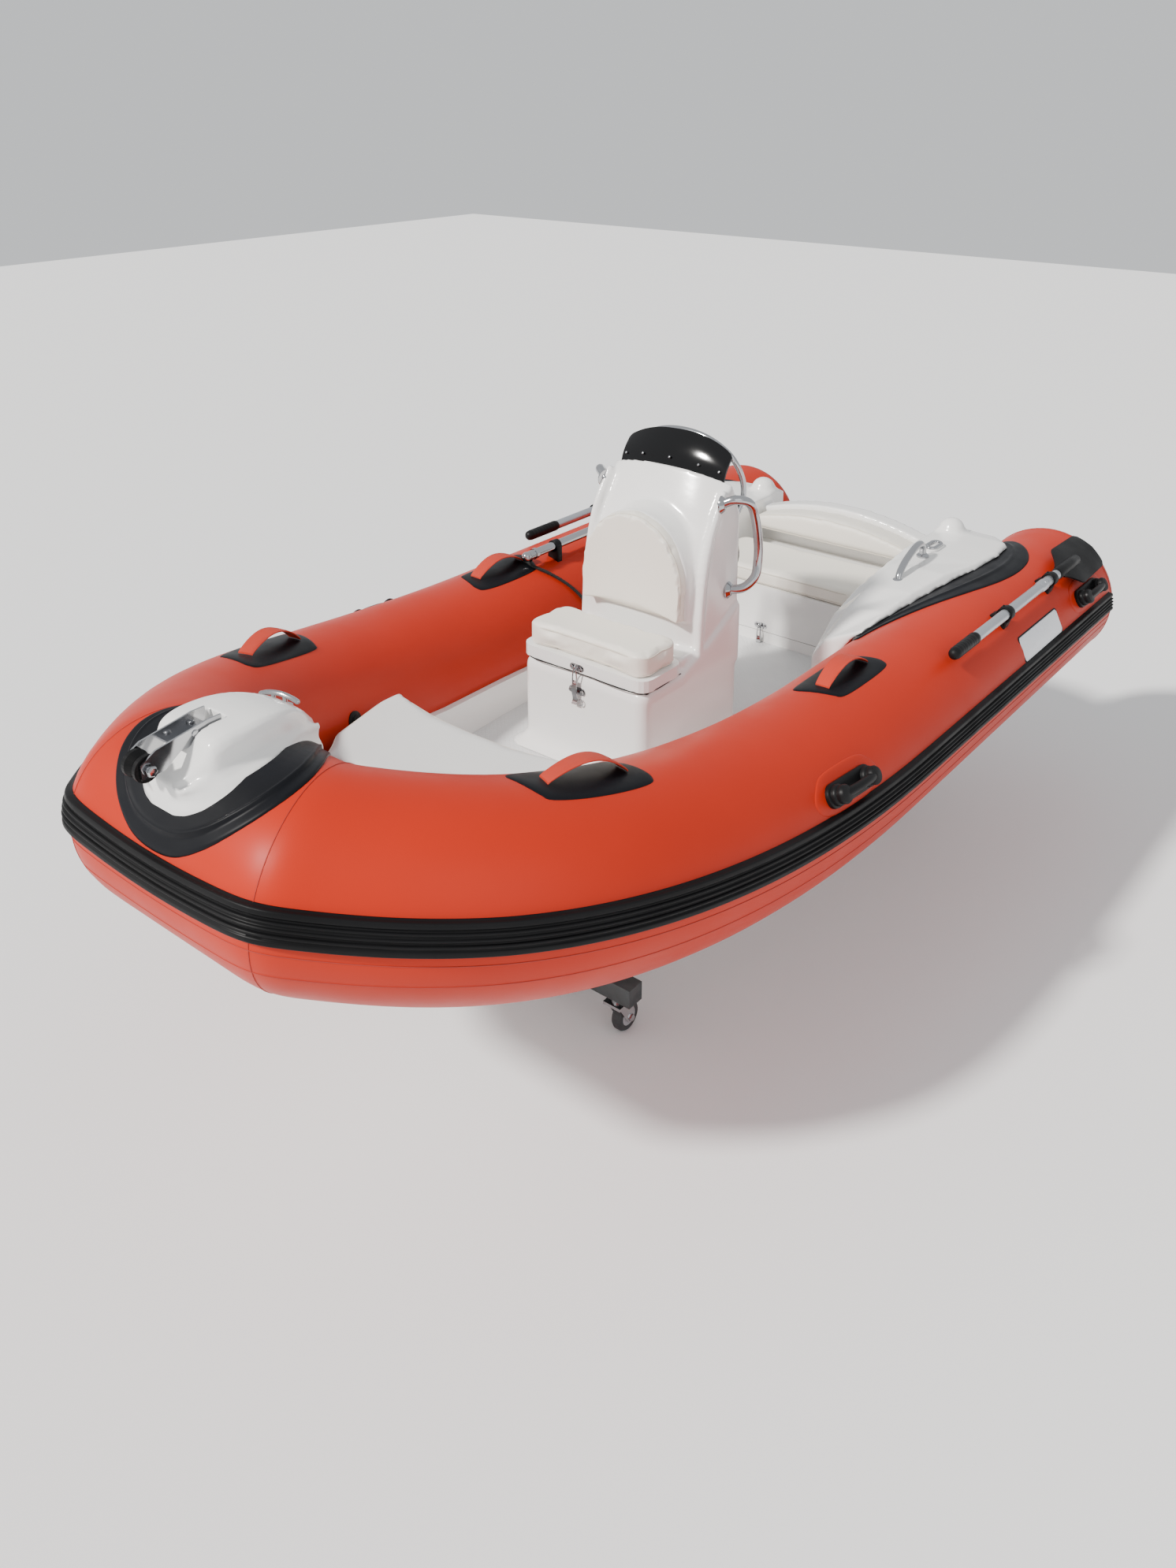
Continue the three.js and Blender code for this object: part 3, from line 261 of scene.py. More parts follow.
def _leather(tree: bpy.types.NodeTree, place: bpy.types.NodeSocket, scale: float) -> bpy.types.NodeSocket:
    """Pebbles of embossed vinyl.

    Args:
        tree: the material's nodes.
        place: object coordinates.
        scale: grains per metre.

    Returns:
        The value's socket.
    """
    cells = tree.nodes.new("ShaderNodeTexVoronoi")
    cells.feature = "SMOOTH_F1"
    cells.inputs["Scale"].default_value = scale
    tree.links.new(place, cells.inputs["Vector"])
    return cells.outputs["Distance"]


def _weave(tree: bpy.types.NodeTree, place: bpy.types.NodeSocket, scale: float) -> bpy.types.NodeSocket:
    """Crossing threads.

    Args:
        tree: the material's nodes.
        place: object coordinates.
        scale: grains per metre.

    Returns:
        The value's socket.
    """
    waves = []
    for direction in ("X", "Y"):
        wave = tree.nodes.new("ShaderNodeTexWave")
        wave.bands_direction = direction
        wave.inputs["Scale"].default_value = scale / 2
        tree.links.new(place, wave.inputs["Vector"])
        waves.append(wave.outputs["Fac"])
    both = tree.nodes.new("ShaderNodeMath")
    both.operation = "MAXIMUM"
    tree.links.new(waves[0], both.inputs[0])
    tree.links.new(waves[1], both.inputs[1])
    return both.outputs["Value"]


def _brushed(tree: bpy.types.NodeTree, place: bpy.types.NodeSocket, scale: float) -> bpy.types.NodeSocket:
    """Long fine scratches of drawn or polished metal."""
    return _noise(tree, place, scale, detail=2, squash=(1, 0.05, 1))


def _peel(tree: bpy.types.NodeTree, place: bpy.types.NodeSocket, scale: float) -> bpy.types.NodeSocket:
    """The slow ripple of sprayed gelcoat."""
    return _noise(tree, place, scale, detail=1)


def _tread(tree: bpy.types.NodeTree, place: bpy.types.NodeSocket, scale: float) -> bpy.types.NodeSocket:
    """Raised diamonds of a non-slip floor.

    Args:
        tree: the material's nodes.
        place: object coordinates.
        scale: grains per metre.

    Returns:
        The value's socket.
    """
    turn = tree.nodes.new("ShaderNodeVectorRotate")
    turn.rotation_type = "Z_AXIS"
    turn.inputs["Angle"].default_value = math.radians(45)
    tree.links.new(place, turn.inputs["Vector"])
    cells = tree.nodes.new("ShaderNodeTexVoronoi")
    cells.distance = "CHEBYCHEV"
    cells.inputs["Scale"].default_value = scale
    cells.inputs["Randomness"].default_value = 0.0
    tree.links.new(turn.outputs["Vector"], cells.inputs["Vector"])
    cut = tree.nodes.new("ShaderNodeMapRange")
    cut.inputs["From Min"].default_value = 0.30
    cut.inputs["From Max"].default_value = 0.42
    cut.inputs["To Min"].default_value = 1.0
    cut.inputs["To Max"].default_value = 0.0
    tree.links.new(cells.outputs["Distance"], cut.inputs["Value"])
    return cut.outputs["Result"]


GRAINS: dict[Grain, Callable] = {
    Grain.FINE: _fine,
    Grain.LEATHER: _leather,
    Grain.WEAVE: _weave,
    Grain.BRUSHED: _brushed,
    Grain.PEEL: _peel,
    Grain.TREAD: _tread,
}

TUBE_FABRIC = Finish("coated tube fabric", "tube_fabric", (0.47, 0.021, 0.0045), 0.42, specular=0.20,
                     drift=0.05, drift_size=0.5, scuff=0.05, grain_size=0.0016, grain_depth=0.00012)
SEAM = Finish("taped seam", "tube_fabric", (0.34, 0.016, 0.005), 0.6, grain_depth=0.00005)
RUBBER = Finish("strake rubber", "black_rubber", (0.004, 0.004, 0.0045), 0.46, specular=0.16,
                drift=0.3, scuff=0.08, grain_size=0.0012, grain_depth=0.00010)
PATCH = Finish("moulded patch rubber", "black_rubber", (0.0035, 0.004, 0.006), 0.44, specular=0.16,
               drift=0.25, scuff=0.06, grain_size=0.0014, grain_depth=0.00012)
GELCOAT = Finish("white gelcoat", "gelcoat", (0.86, 0.85, 0.83), 0.20, coat=0.5, drift=0.02,
                 drift_size=0.6, scuff=0.05, grain=Grain.PEEL, grain_size=0.02, grain_depth=0.00015)
NON_SLIP = Finish("non-slip gelcoat", "gelcoat", (0.74, 0.74, 0.74), 0.5, drift=0.05, scuff=0.1,
                  grain=Grain.TREAD, grain_size=0.011, grain_depth=0.0008)
VINYL = Finish("warm white vinyl", "vinyl", (0.84, 0.795, 0.71), 0.48, drift=0.035, drift_size=0.3,
               scuff=0.07, grain=Grain.LEATHER, grain_size=0.0022, grain_depth=0.00018)
COOL_VINYL = Finish("cool white vinyl", "vinyl", (0.72, 0.715, 0.70), 0.52, drift=0.035,
                    drift_size=0.3, scuff=0.07, grain=Grain.LEATHER, grain_size=0.0022,
                    grain_depth=0.00018)
# Piping painted darker than the cushion vinyl: painted shade standing in for the shadow along each seam.
PIPING_PAINTED_SHADE = Finish("vinyl piping with painted seam shade", "vinyl", (0.66, 0.61, 0.52), 0.4, grain_depth=0.00005)
STAINLESS = Finish("polished stainless", "stainless", (0.47, 0.475, 0.49), 0.14, metallic=1.0,
                   drift=0.03, scuff=0.05, grain=Grain.BRUSHED, grain_size=0.0012,
                   grain_depth=0.00001)
ACRYLIC = Finish("smoked acrylic", "smoked_acrylic", (0.003, 0.003, 0.0035), 0.07, coat=0.1, specular=0.3,
                 drift=0.1, scuff=0.03, grain=Grain.PEEL, grain_size=0.05, grain_depth=0.0001)
ALLOY = Finish("anodised alloy", "alloy", (0.50, 0.52, 0.55), 0.34, metallic=0.85, drift=0.06,
               scuff=0.08, grain=Grain.BRUSHED, grain_size=0.0010, grain_depth=0.00005)
PLASTIC = Finish("black moulded plastic", "black_plastic", (0.005, 0.005, 0.0055), 0.44, specular=0.18,
                 drift=0.25, scuff=0.1, grain_size=0.0012, grain_depth=0.00015)
BOARD = Finish("black engine pad", "black_plastic", (0.020, 0.020, 0.022), 0.5, drift=0.2,
               grain=Grain.LEATHER, grain_size=0.003, grain_depth=0.0003)
WEBBING = Finish("orange webbing", "webbing", (0.56, 0.030, 0.007), 0.62, drift=0.08,
                 grain=Grain.WEAVE, grain_size=0.0022, grain_depth=0.0005)
CRADLE = Finish("cradle paint", "cradle_paint", (0.055, 0.060, 0.062), 0.5, metallic=0.3, drift=0.35,
                drift_size=0.12, scuff=0.15, grain_size=0.004, grain_depth=0.0003)
ROPE = Finish("braided rope", "rope", (0.014, 0.014, 0.013), 0.8, drift=0.5, drift_size=0.006,
              grain=Grain.WEAVE, grain_size=0.0011, grain_depth=0.0004)
CASTOR = Finish("castor tread", "castor_tread", (0.030, 0.030, 0.032), 0.55, drift=0.3,
                grain_size=0.0015, grain_depth=0.0002)
PLATE = Finish("blank side plate", "gelcoat", (0.80, 0.81, 0.84), 0.3, coat=0.3, drift=0.02)
GLASS_DIAL = Finish("dial face", "black_plastic", (0.02, 0.02, 0.022), 0.08, coat=0.8)


def smooth_by_angle(angle: float) -> bpy.types.NodeTree:
    """A modifier tree that shades smooth except over edges sharper than an angle.

    Args:
        angle: the sharpest smooth edge, in radians.

    Returns:
        The node group.
    """
    name = "shade smooth by angle"
    tree = bpy.data.node_groups.get(name)
    if tree:
        return tree
    tree = bpy.data.node_groups.new(name, "GeometryNodeTree")
    tree.interface.new_socket("Geometry", in_out="INPUT", socket_type="NodeSocketGeometry")
    tree.interface.new_socket("Geometry", in_out="OUTPUT", socket_type="NodeSocketGeometry")
    start, end = tree.nodes.new("NodeGroupInput"), tree.nodes.new("NodeGroupOutput")
    faces = tree.nodes.new("GeometryNodeSetShadeSmooth")
    edges = tree.nodes.new("GeometryNodeSetShadeSmooth")
    edges.domain = "EDGE"
    bend = tree.nodes.new("GeometryNodeInputMeshEdgeAngle")
    gentle = tree.nodes.new("FunctionNodeCompare")
    gentle.operation = "LESS_THAN"
    gentle.inputs["B"].default_value = angle
    tree.links.new(start.outputs[0], faces.inputs["Geometry"])
    tree.links.new(faces.outputs[0], edges.inputs["Geometry"])
    tree.links.new(bend.outputs["Unsigned Angle"], gentle.inputs["A"])
    tree.links.new(gentle.outputs["Result"], edges.inputs["Shade Smooth"])
    tree.links.new(edges.outputs[0], end.inputs[0])
    return tree


# ------------------------------------------------------------------ mesh making
Mesh = tuple[list[Vector], list[tuple[int, ...]]]


def lofted(rings: Sequence[Ring], caps: bool = True) -> Mesh:
    """Skin rings of equal count, each closed on itself.

    Args:
        rings: the rings in order.
        caps: whether the first and last are filled.

    Returns:
        The points and faces.
    """
    count = len(rings[0])
    points = [p for ring in rings for p in ring]
    faces: list[tuple[int, ...]] = []
    for i in range(len(rings) - 1):
        for j in range(count):
            k = (j + 1) % count
            faces.append((i * count + j, i * count + k, (i + 1) * count + k, (i + 1) * count + j))
    if caps:
        faces.append(tuple(range(count - 1, -1, -1)))
        last = (len(rings) - 1) * count
        faces.append(tuple(last + j for j in range(count)))
    return points, faces


def joined(meshes: Sequence[Mesh]) -> Mesh:
    """Several meshes as one.

    Args:
        meshes: the meshes to join.

    Returns:
        The points and faces.
    """
    points: list[Vector] = []
    faces: list[tuple[int, ...]] = []
    for part_points, part_faces in meshes:
        base = len(points)
        points.extend(part_points)
        faces.extend(tuple(base + i for i in face) for face in part_faces)
    return points, faces


def flipped(mesh: Mesh) -> Mesh:
    """The same mesh on the other side of the boat."""
    points, faces = mesh
    return [Vector((-p.x, p.y, p.z)) for p in points], [tuple(reversed(f)) for f in faces]


def by_side(mesh: Mesh) -> tuple[tuple[str, Mesh], ...]:
    """A port mesh and its starboard twin, each with its side's name."""
    return ("port", mesh), ("starboard", flipped(mesh))


def make(name: str, mesh: Mesh, finish: Finish, body: str = BOAT, sharp: float = 38) -> bpy.types.Object:
    """Turn a mesh in the boat's axes into a finished piece that rides on a body.

    Args:
        name: of the piece.
        mesh: its points and faces.
        finish: its finish.
        body: the body it rides on.
        sharp: edges over this many degrees stay sharp.

    Returns:
        The piece.
    """
    points, faces = mesh
    data = bpy.data.meshes.new(name)
    data.from_pydata([tuple(Vector(p) + LIFT) for p in points], [], faces)
    return settle(name, data, finish, body, sharp)


def settle(name: str, data: bpy.types.Mesh, finish: Finish, body: str, sharp: float = 38) -> bpy.types.Object:
    """Clean a mesh that is already in the frame, shade it, paint it and let it ride.

    Args:
        name: of the piece.
        data: its mesh.
        finish: its finish.
        body: the body it rides on.
        sharp: edges over this many degrees stay sharp.

    Returns:
        The piece.
    """
    work = bmesh.new()
    work.from_mesh(data)
    bmesh.ops.remove_doubles(work, verts=work.verts, dist=1e-6)
    bmesh.ops.recalc_face_normals(work, faces=work.faces)
    work.to_mesh(data)
    work.free()
    data.shade_smooth()
    data.set_sharp_from_angle(angle=math.radians(sharp))
    piece = bpy.data.objects.new(name, data)
    bpy.context.collection.objects.link(piece)
    finish.paint(piece)
    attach(piece, body)
    return piece


def eased(points: Sequence[Point], count: int, closed: bool = False) -> list[Vector]:
    """A centripetal Catmull-Rom curve through points, cut into even steps.

    Args:
        points: that the curve passes.
        count: of steps.
        closed: whether it meets itself.

    Returns:
        The points, one more than the steps.
    """
    knots = [Vector(p) for p in points]
    if closed:
        knots = [knots[-1], *knots, knots[0], knots[1]]
    else:
        knots = [2 * knots[0] - knots[1], *knots, 2 * knots[-1] - knots[-2]]
    dense: list[Vector] = []
    for a, b, c, d in zip(knots, knots[1:], knots[2:], knots[3:]):
        dense.extend(_segment(a, b, c, d, 24))
    dense.append(knots[-2].copy())
    return evenly(dense, count)


def _segment(a: Vector, b: Vector, c: Vector, d: Vector, steps: int) -> list[Vector]:
    """Points of one centripetal span from b towards c.

    Args:
        a: knot before the span.
        b: its first knot.
        c: its last knot.
        d: knot after it.
        steps: how many points.

    Returns:
        The points, without c.
    """
    times = [0.0]
    for p, q in ((a, b), (b, c), (c, d)):
        times.append(times[-1] + max((q - p).length, 1e-9) ** 0.5)
    t0, t1, t2, t3 = times
    out = []
    for i in range(steps):
        t = t1 + (t2 - t1) * i / steps
        e = a * ((t1 - t) / (t1 - t0)) + b * ((t - t0) / (t1 - t0))
        f = b * ((t2 - t) / (t2 - t1)) + c * ((t - t1) / (t2 - t1))
        g = c * ((t3 - t) / (t3 - t2)) + d * ((t - t2) / (t3 - t2))
        h = e * ((t2 - t) / (t2 - t0)) + f * ((t - t0) / (t2 - t0))
        k = f * ((t3 - t) / (t3 - t1)) + g * ((t - t1) / (t3 - t1))
        out.append(h * ((t2 - t) / (t2 - t1)) + k * ((t - t1) / (t2 - t1)))
    return out


def evenly(path: Sequence[Vector], count: int) -> list[Vector]:
    """Cut a polyline into `count` even steps.

    Args:
        path: the polyline.
        count: of steps.

    Returns:
        The points, one more than the steps.
    """
    marks = [0.0]
    for p, q in zip(path, path[1:]):
        marks.append(marks[-1] + (q - p).length)
    out, j = [], 0
    for i in range(count + 1):
        want = marks[-1] * i / count
        while j < len(marks) - 2 and marks[j + 1] < want:
            j += 1
        span = marks[j + 1] - marks[j] or 1.0
        out.append(path[j].lerp(path[j + 1], (want - marks[j]) / span))
    return out


def swept(path: Sequence[Vector], radius: float, sides: int = 16, rounded: bool = True,
          relief: Callable[[float, float], float] | None = None, loop: bool = False) -> Mesh:
    """A round tube along a path, with domed ends unless it is a loop.

    Args:
        path: its centre line.
        radius: of the tube.
        sides: round the tube.
        rounded: whether the ends are domed.
        relief: extra radius from the distance along and the angle round.
        loop: whether the path closes on itself.

    Returns:
        The points and faces.
    """
    frames = _frames(path, loop)
    rings: list[Ring] = []
    run = 0.0
    for i, (centre, along, out, up) in enumerate(frames):
        if i:
            run += (centre - frames[i - 1][0]).length
        rings.append([
            centre + (out * math.cos(a) + up * math.sin(a)) * (radius + (relief(run, a) if relief else 0.0))
            for a in (2 * math.pi * j / sides for j in range(sides))
        ])
    if loop:
        rings.append(rings[0])
        return lofted(rings, caps=False)
    if rounded:
        rings = [*_dome(frames[0], radius, sides, -1), *rings, *reversed(_dome(frames[-1], radius, sides, 1))]
    return lofted(rings)


def _dome(frame: Frame, radius: float, sides: int, way: int) -> list[Ring]:
    """Small rings that close a tube's end, from the tip inwards.

    Args:
        frame: the end's frame.
        radius: of the tube.
        sides: round the tube.
        way: 1 at the far end, -1 at the near.

    Returns:
        Three rings.
    """
    centre, along, out, up = frame
    return [
        [centre + along * (way * radius * math.cos(lat)) + (out * math.cos(a) + up * math.sin(a))
         * (radius * math.sin(lat)) for a in (2 * math.pi * j / sides for j in range(sides))]
        for lat in (math.radians(d) for d in (12, 34, 60))
    ]


def _frames(path: Sequence[Vector], loop: bool) -> list[Frame]:
    """Frames along a path that don't twist: centre, direction and two cross directions.

    Args:
        path: its points.
        loop: whether it closes.

    Returns:
        A frame for each point.
    """
    count = len(path)
    frames = []
    out = None
    for i, centre in enumerate(path):
        before = path[i - 1] if i or loop else centre
        after = path[(i + 1) % count] if i < count - 1 or loop else centre
        along = (after - before).normalized()
        if out is None:
            out = along.orthogonal().normalized() if abs(along.z) > 0.95 else along.cross(UP).normalized()
        out = (out - along * out.dot(along)).normalized()
        frames.append((centre, along, out, out.cross(along)))
    return frames


def turned(profile: Outline, centre: Point, axis: Vector = UP,
           segments: int = 32) -> Mesh:
    """A solid of revolution: (radius, height) pairs from the bottom of its axis to the top.

    Args:
        profile: the pairs.
        centre: where height is nought.
        axis: of revolution.
        segments: round it.

    Returns:
        The points and faces.
    """
    axis = axis.normalized()
    u = axis.orthogonal().normalized()
    w = axis.cross(u)
    rings = [
        [Vector(centre) + axis * h + (u * math.cos(a) + w * math.sin(a)) * max(r, 1e-5)
         for a in (2 * math.pi * j / segments for j in range(segments))]
        for r, h in profile
    ]
    return lofted(rings)


def strip(path: Sequence[Vector], across: Vector, half: float, thick: float) -> Mesh:
    """A flat strip along a path.

    Args:
        path: its middle line.
        across: direction of its breadth.
        half: half its breadth.
        thick: its thickness.

    Returns:
        The points and faces.
    """
    rings = []
    for i, p in enumerate(path):
        q = path[min(i + 1, len(path) - 1)] - path[max(i - 1, 0)]
        normal = across.cross(q).normalized()
        rings.append([p + across * (a * half) + normal * (b * thick / 2)
                      for a, b in ((-1, -1), (1, -1), (1, 1), (-1, 1))])
    return lofted(rings)


def slab(outline: Outline, origin: Point, u: Vector, w: Vector, thick: float,
         edge: float = 0.0) -> Mesh:
    """A flat plate: a plane outline in u and w, standing `thick` along u x w, its rim eased by `edge`.

    Args:
        outline: in u and w.
        origin: where both are nought.
        u: first direction.
        w: second direction.
        thick: the thickness.
        edge: radius of the rim.

    Returns:
        The points and faces.
    """
    normal = u.cross(w).normalized()
    middle = Vector((sum(a for a, _ in outline), sum(b for _, b in outline))) / len(outline)

    def level(inset: float, height: float) -> Ring:
        """The outline drawn in towards its middle, at a height.

        Args:
            inset: how far in.
            height: along the normal.

        Returns:
            The ring.
        """
        ring = []
        for a, b in outline:
            spoke = Vector((a, b)) - middle
            keep = middle + spoke * max(0.0, 1 - inset / max(spoke.length, 1e-6))
            ring.append(Vector(origin) + u * keep.x + w * keep.y + normal * height)
        return ring

    rings = [level(0, 0), level(0, max(0.0, thick - edge))]
    if edge:
        rings += [level(edge * 0.3, thick - edge * 0.3), level(edge, thick)]
    return lofted(rings)


def oblong(length: float, width: float, steps: int = 8) -> Outline:
    """An outline with straight sides and round ends.

    Args:
        length: overall.
        width: overall.
        steps: round each end.

    Returns:
        The outline.
    """
    r = width / 2
    reach = length / 2 - r
    out = []
    for side, start in ((1, -90), (-1, 90)):
        for i in range(steps + 1):
            a = math.radians(start + 180 * i / steps)
            out.append((side * reach + r * math.cos(a), r * math.sin(a)))
    return out


def rounded_box(low: Point, high: Point, radius: float, steps: int = 3) -> Mesh:
    """A block with eased edges, made by insetting rounded plans near its top and bottom.

    Args:
        low: lowest corner.
        high: highest corner.
        radius: of the edges.
        steps: round each edge.

    Returns:
        The points and faces.
    """
    (x0, y0, z0), (x1, y1, z1) = low, high

    def plan(inset: float, z: float) -> Ring:
        """The rounded plan at a height.

        Args:
            inset: how far in.
            z: its height.

        Returns:
            The ring.
        """
        r = max(radius - inset, radius * 0.3)
        ring = []
        for cx, cy, start in ((x1 - inset - r, y1 - inset - r, 0), (x0 + inset + r, y1 - inset - r, 90),
                              (x0 + inset + r, y0 + inset + r, 180), (x1 - inset - r, y0 + inset + r, 270)):
            for i in range(steps + 1):
                a = math.radians(start + 90 * i / steps)
                ring.append(Vector((cx + r * math.cos(a), cy + r * math.sin(a), z)))
        return ring

    low_rings = [plan(radius * (1 - math.sin(a)), z0 + radius * (1 - math.cos(a)))
                 for a in (math.radians(90 * i / steps) for i in range(steps + 1))]
    high_rings = [plan(radius * (1 - math.cos(a)), z1 - radius * (1 - math.sin(a)))
                  for a in (math.radians(90 * i / steps) for i in range(steps + 1))]
    return lofted([*low_rings, *high_rings])


def applied(piece: bpy.types.Object) -> bpy.types.Mesh:
    """The mesh of a working object with its modifiers applied."""
    graph = bpy.context.evaluated_depsgraph_get()
    return bpy.data.meshes.new_from_object(piece.evaluated_get(graph))


def working(data: bpy.types.Mesh) -> bpy.types.Object:
    """A throwaway object for modifiers.

    Args:
        data: its mesh.

    Returns:
        The object.
    """
    piece = bpy.data.objects.new("working", data)
    bpy.context.collection.objects.link(piece)
    return piece


def moulded(meshes: Sequence[bpy.types.Mesh], voxel: float, passes: int,
            cut: Sequence[bpy.types.Mesh] = ()) -> bpy.types.Mesh:
    """Fuse overlapping closed meshes into one skin with soft edges, as a moulding has.

    Args:
        meshes: the solids, in the frame.
        voxel: size of the new facets.
        passes: how often the skin is smoothed.
        cut: solids to take away after the fusing.

    Returns:
        The new mesh.
    """
    work = bmesh.new()
    for mesh in meshes:
        work.from_mesh(mesh)
    bmesh.ops.recalc_face_normals(work, faces=work.faces)
    data = bpy.data.meshes.new("fused")
    work.to_mesh(data)
    work.free()
    piece = working(data)
    fuse = piece.modifiers.new("fuse", "REMESH")
    fuse.mode = "VOXEL"
    fuse.voxel_size = voxel
    for mesh in cut:
        tool = working(mesh)
        cutter = piece.modifiers.new("cut", "BOOLEAN")
        cutter.operation = "DIFFERENCE"
        cutter.object = tool
    if cut:
        again = piece.modifiers.new("fuse again", "REMESH")
        again.mode = "VOXEL"
        again.voxel_size = voxel
    soften = piece.modifiers.new("soften", "SMOOTH")
    soften.factor = 0.5
    soften.iterations = passes
    made = applied(piece)
    tools = [m.object for m in piece.modifiers if m.type == "BOOLEAN"]
    for spent in (piece, *tools):
        bpy.data.objects.remove(spent)
    return made


def framed(mesh: Mesh) -> bpy.types.Mesh:
    """A mesh in the boat's axes as Blender mesh data in the frame.

    Args:
        mesh: the points and faces.

    Returns:
        The mesh data.
    """
    points, faces = mesh
    data = bpy.data.meshes.new("solid")
    data.from_pydata([tuple(Vector(p) + LIFT) for p in points], [], faces)
    return data


# ------------------------------------------------------------------ the tube's line
@dataclass
class TubeLine:
    """The axis of the buoyancy tube and the skin about it, in the boat's axes."""

    radius: float = 0.210
    half_beam: float = 0.579
    bow_y: float = -1.046
    bow_half: float = 0.205
    bow_angle: float = 42.6
    shoulder_y: float = 0.415
    pull: tuple[float, float] = (0.206, 0.726)
    stern_y: float = 1.690
    cone: float = 0.075
    tip_share: float = 0.42
    rise: float = 0.192
    sheer_y: float = 0.303
    mitre_blend: float = 0.30
    corner_passes: int = 16
    sides: int = 72

    def __post_init__(self) -> None:
        """Work out the four handles of the side's plan curve."""
        start = Vector((self.bow_half, self.bow_y, 0))
        end = Vector((self.half_beam, self.shoulder_y, 0))
        span = (end - start).length
        angle = math.radians(self.bow_angle)
        leave = Vector((math.cos(angle), math.sin(angle), 0))
        self.handles = (start, start + leave * self.pull[0] * span,
                        end - Vector((0, self.pull[1] * span, 0)), end)

    def plan(self, t: float) -> tuple[Vector, Vector]:
        """Place and direction on the side's plan curve, from the bow corner at 0 to the shoulder at 1.

        Args:
            t: the way along.

        Returns:
            Place and unit direction.
        """
        a, b, c, d = self.handles
        s = 1 - t
        place = a * s ** 3 + b * (3 * s * s * t) + c * (3 * s * t * t) + d * t ** 3
        way = (b - a) * (3 * s * s) + (c - b) * (6 * s * t) + (d - c) * (3 * t * t)
        return place, way.normalized()

    def sheer(self, y: float) -> float:
        """Height of the axis, which rises towards the bow."""
        return self.rise * max(0.0, (self.sheer_y - y) / (self.sheer_y - self.bow_y)) ** 2

    def axis_x(self, y: float) -> float:
        """Half breadth of the axis at a station.

        Args:
            y: the station.

        Returns:
            Its x.
        """
        if y >= self.shoulder_y:
            return self.half_beam
        low, high = 0.0, 1.0
        for _ in range(36):
            middle = (low + high) / 2
            if self.plan(middle)[0].y < y:
                low = middle
            else:
                high = middle
        return self.plan(low)[0].x

    def frame(self, y: float) -> tuple[Vector, Vector, Vector, Vector]:
        """Centre, direction, outboard and upward directions of the port tube at a station.

        Args:
            y: the station.

        Returns:
            Centre, direction, outboard and up.
        """
        step = 0.002
        along = Vector((self.axis_x(y + step) - self.axis_x(y - step), 2 * step,
                        self.sheer(y + step) - self.sheer(y - step))).normalized()
        out = along.cross(UP).normalized()
        return Vector((self.axis_x(y), y, self.sheer(y))), along, out, out.cross(along)

    def skin(self, y: float, degrees: float, proud: float = 0.0) -> Vector:
        """A point on the port tube's skin, or standing proud of it.

        Args:
            y: the station.
            degrees: round from outboard, upwards.
            proud: off the skin.

        Returns:
            The point.
        """
        centre, _, out, up = self.frame(y)
        a = math.radians(degrees)
        return centre + (out * math.cos(a) + up * math.sin(a)) * (self.radius + proud)

    def stations(self, end_y: float, coned: bool) -> list[tuple[Vector, Vector, float, float]]:
        """Port stations from the bow corner: place, direction, share of radius and way along.

        Args:
            end_y: where the run ends.
            coned: whether the end cone follows.

        Returns:
            The stations in order.
        """
        out: list[tuple[Vector, Vector, float, float]] = []
        run = 0.0
        bends = 96
        for i in range(bends + 1):
            flat, way = self.plan(i / bends)
            place = Vector((flat.x, flat.y, self.sheer(flat.y)))
            drop = -2 * self.sheer(place.y) / (self.sheer_y - place.y) if place.y < self.sheer_y else 0.0
            if out:
                run += (place - out[-1][0]).length
            out.append((place, Vector((way.x, way.y, drop * way.y)).normalized(), 1.0, run))
        straight = 14
        for i in range(1, straight + 1):
            y = self.shoulder_y + (end_y - self.shoulder_y) * i / straight
            out.append((Vector((self.half_beam, y, 0)), Vector((0, 1, 0)), 1.0, run + y - self.shoulder_y))
        if coned:
            steps = 12
            for i in range(1, steps + 1):
                k = math.sin(math.pi / 2 * i / steps)
                share = self.tip_share + (1 - self.tip_share) * math.sqrt(max(0.0, 1 - k ** 2.2))
                y = end_y + k * self.cone
                out.append((Vector((self.half_beam, y, 0)), Vector((0, 1, 0)), share, 9.0))
        return out

    def rings(self, section: Section, end_y: float, coned: bool = False) -> tuple[list[Ring], list[Ring]]:
        """Rings of a section round the bow, the corner at each mitre eased.

        Args:
            section: gives (outboard, up) pairs from the way along and the share of radius.
            end_y: where the port run ends.
            coned: whether the tube's end cone follows.

        Returns:
            The port rings from the mitre aft, and the bow rings from starboard to port.
        """
        port = self._port(section, end_y, coned)
        half = self._bow_half(section, port[0])
        mitre = len(half)
        line = half + port
        reach = 9
        for _ in range(self.corner_passes):
            eased_line = [list(ring) for ring in line]
            for i in range(mitre - reach, mitre + reach + 1):
                share = 0.5 * (1 - (abs(i - mitre) / (reach + 1)) ** 2)
                for j, p in enumerate(line[i]):
                    eased_line[i][j] = p.lerp((line[i - 1][j] + line[i + 1][j]) / 2, share)
            line = eased_line
        other = [[Vector((-p.x, p.y, p.z)) for p in ring] for ring in reversed(line[1:mitre + 1])]
        return line[mitre:], other + line[:mitre + 1]

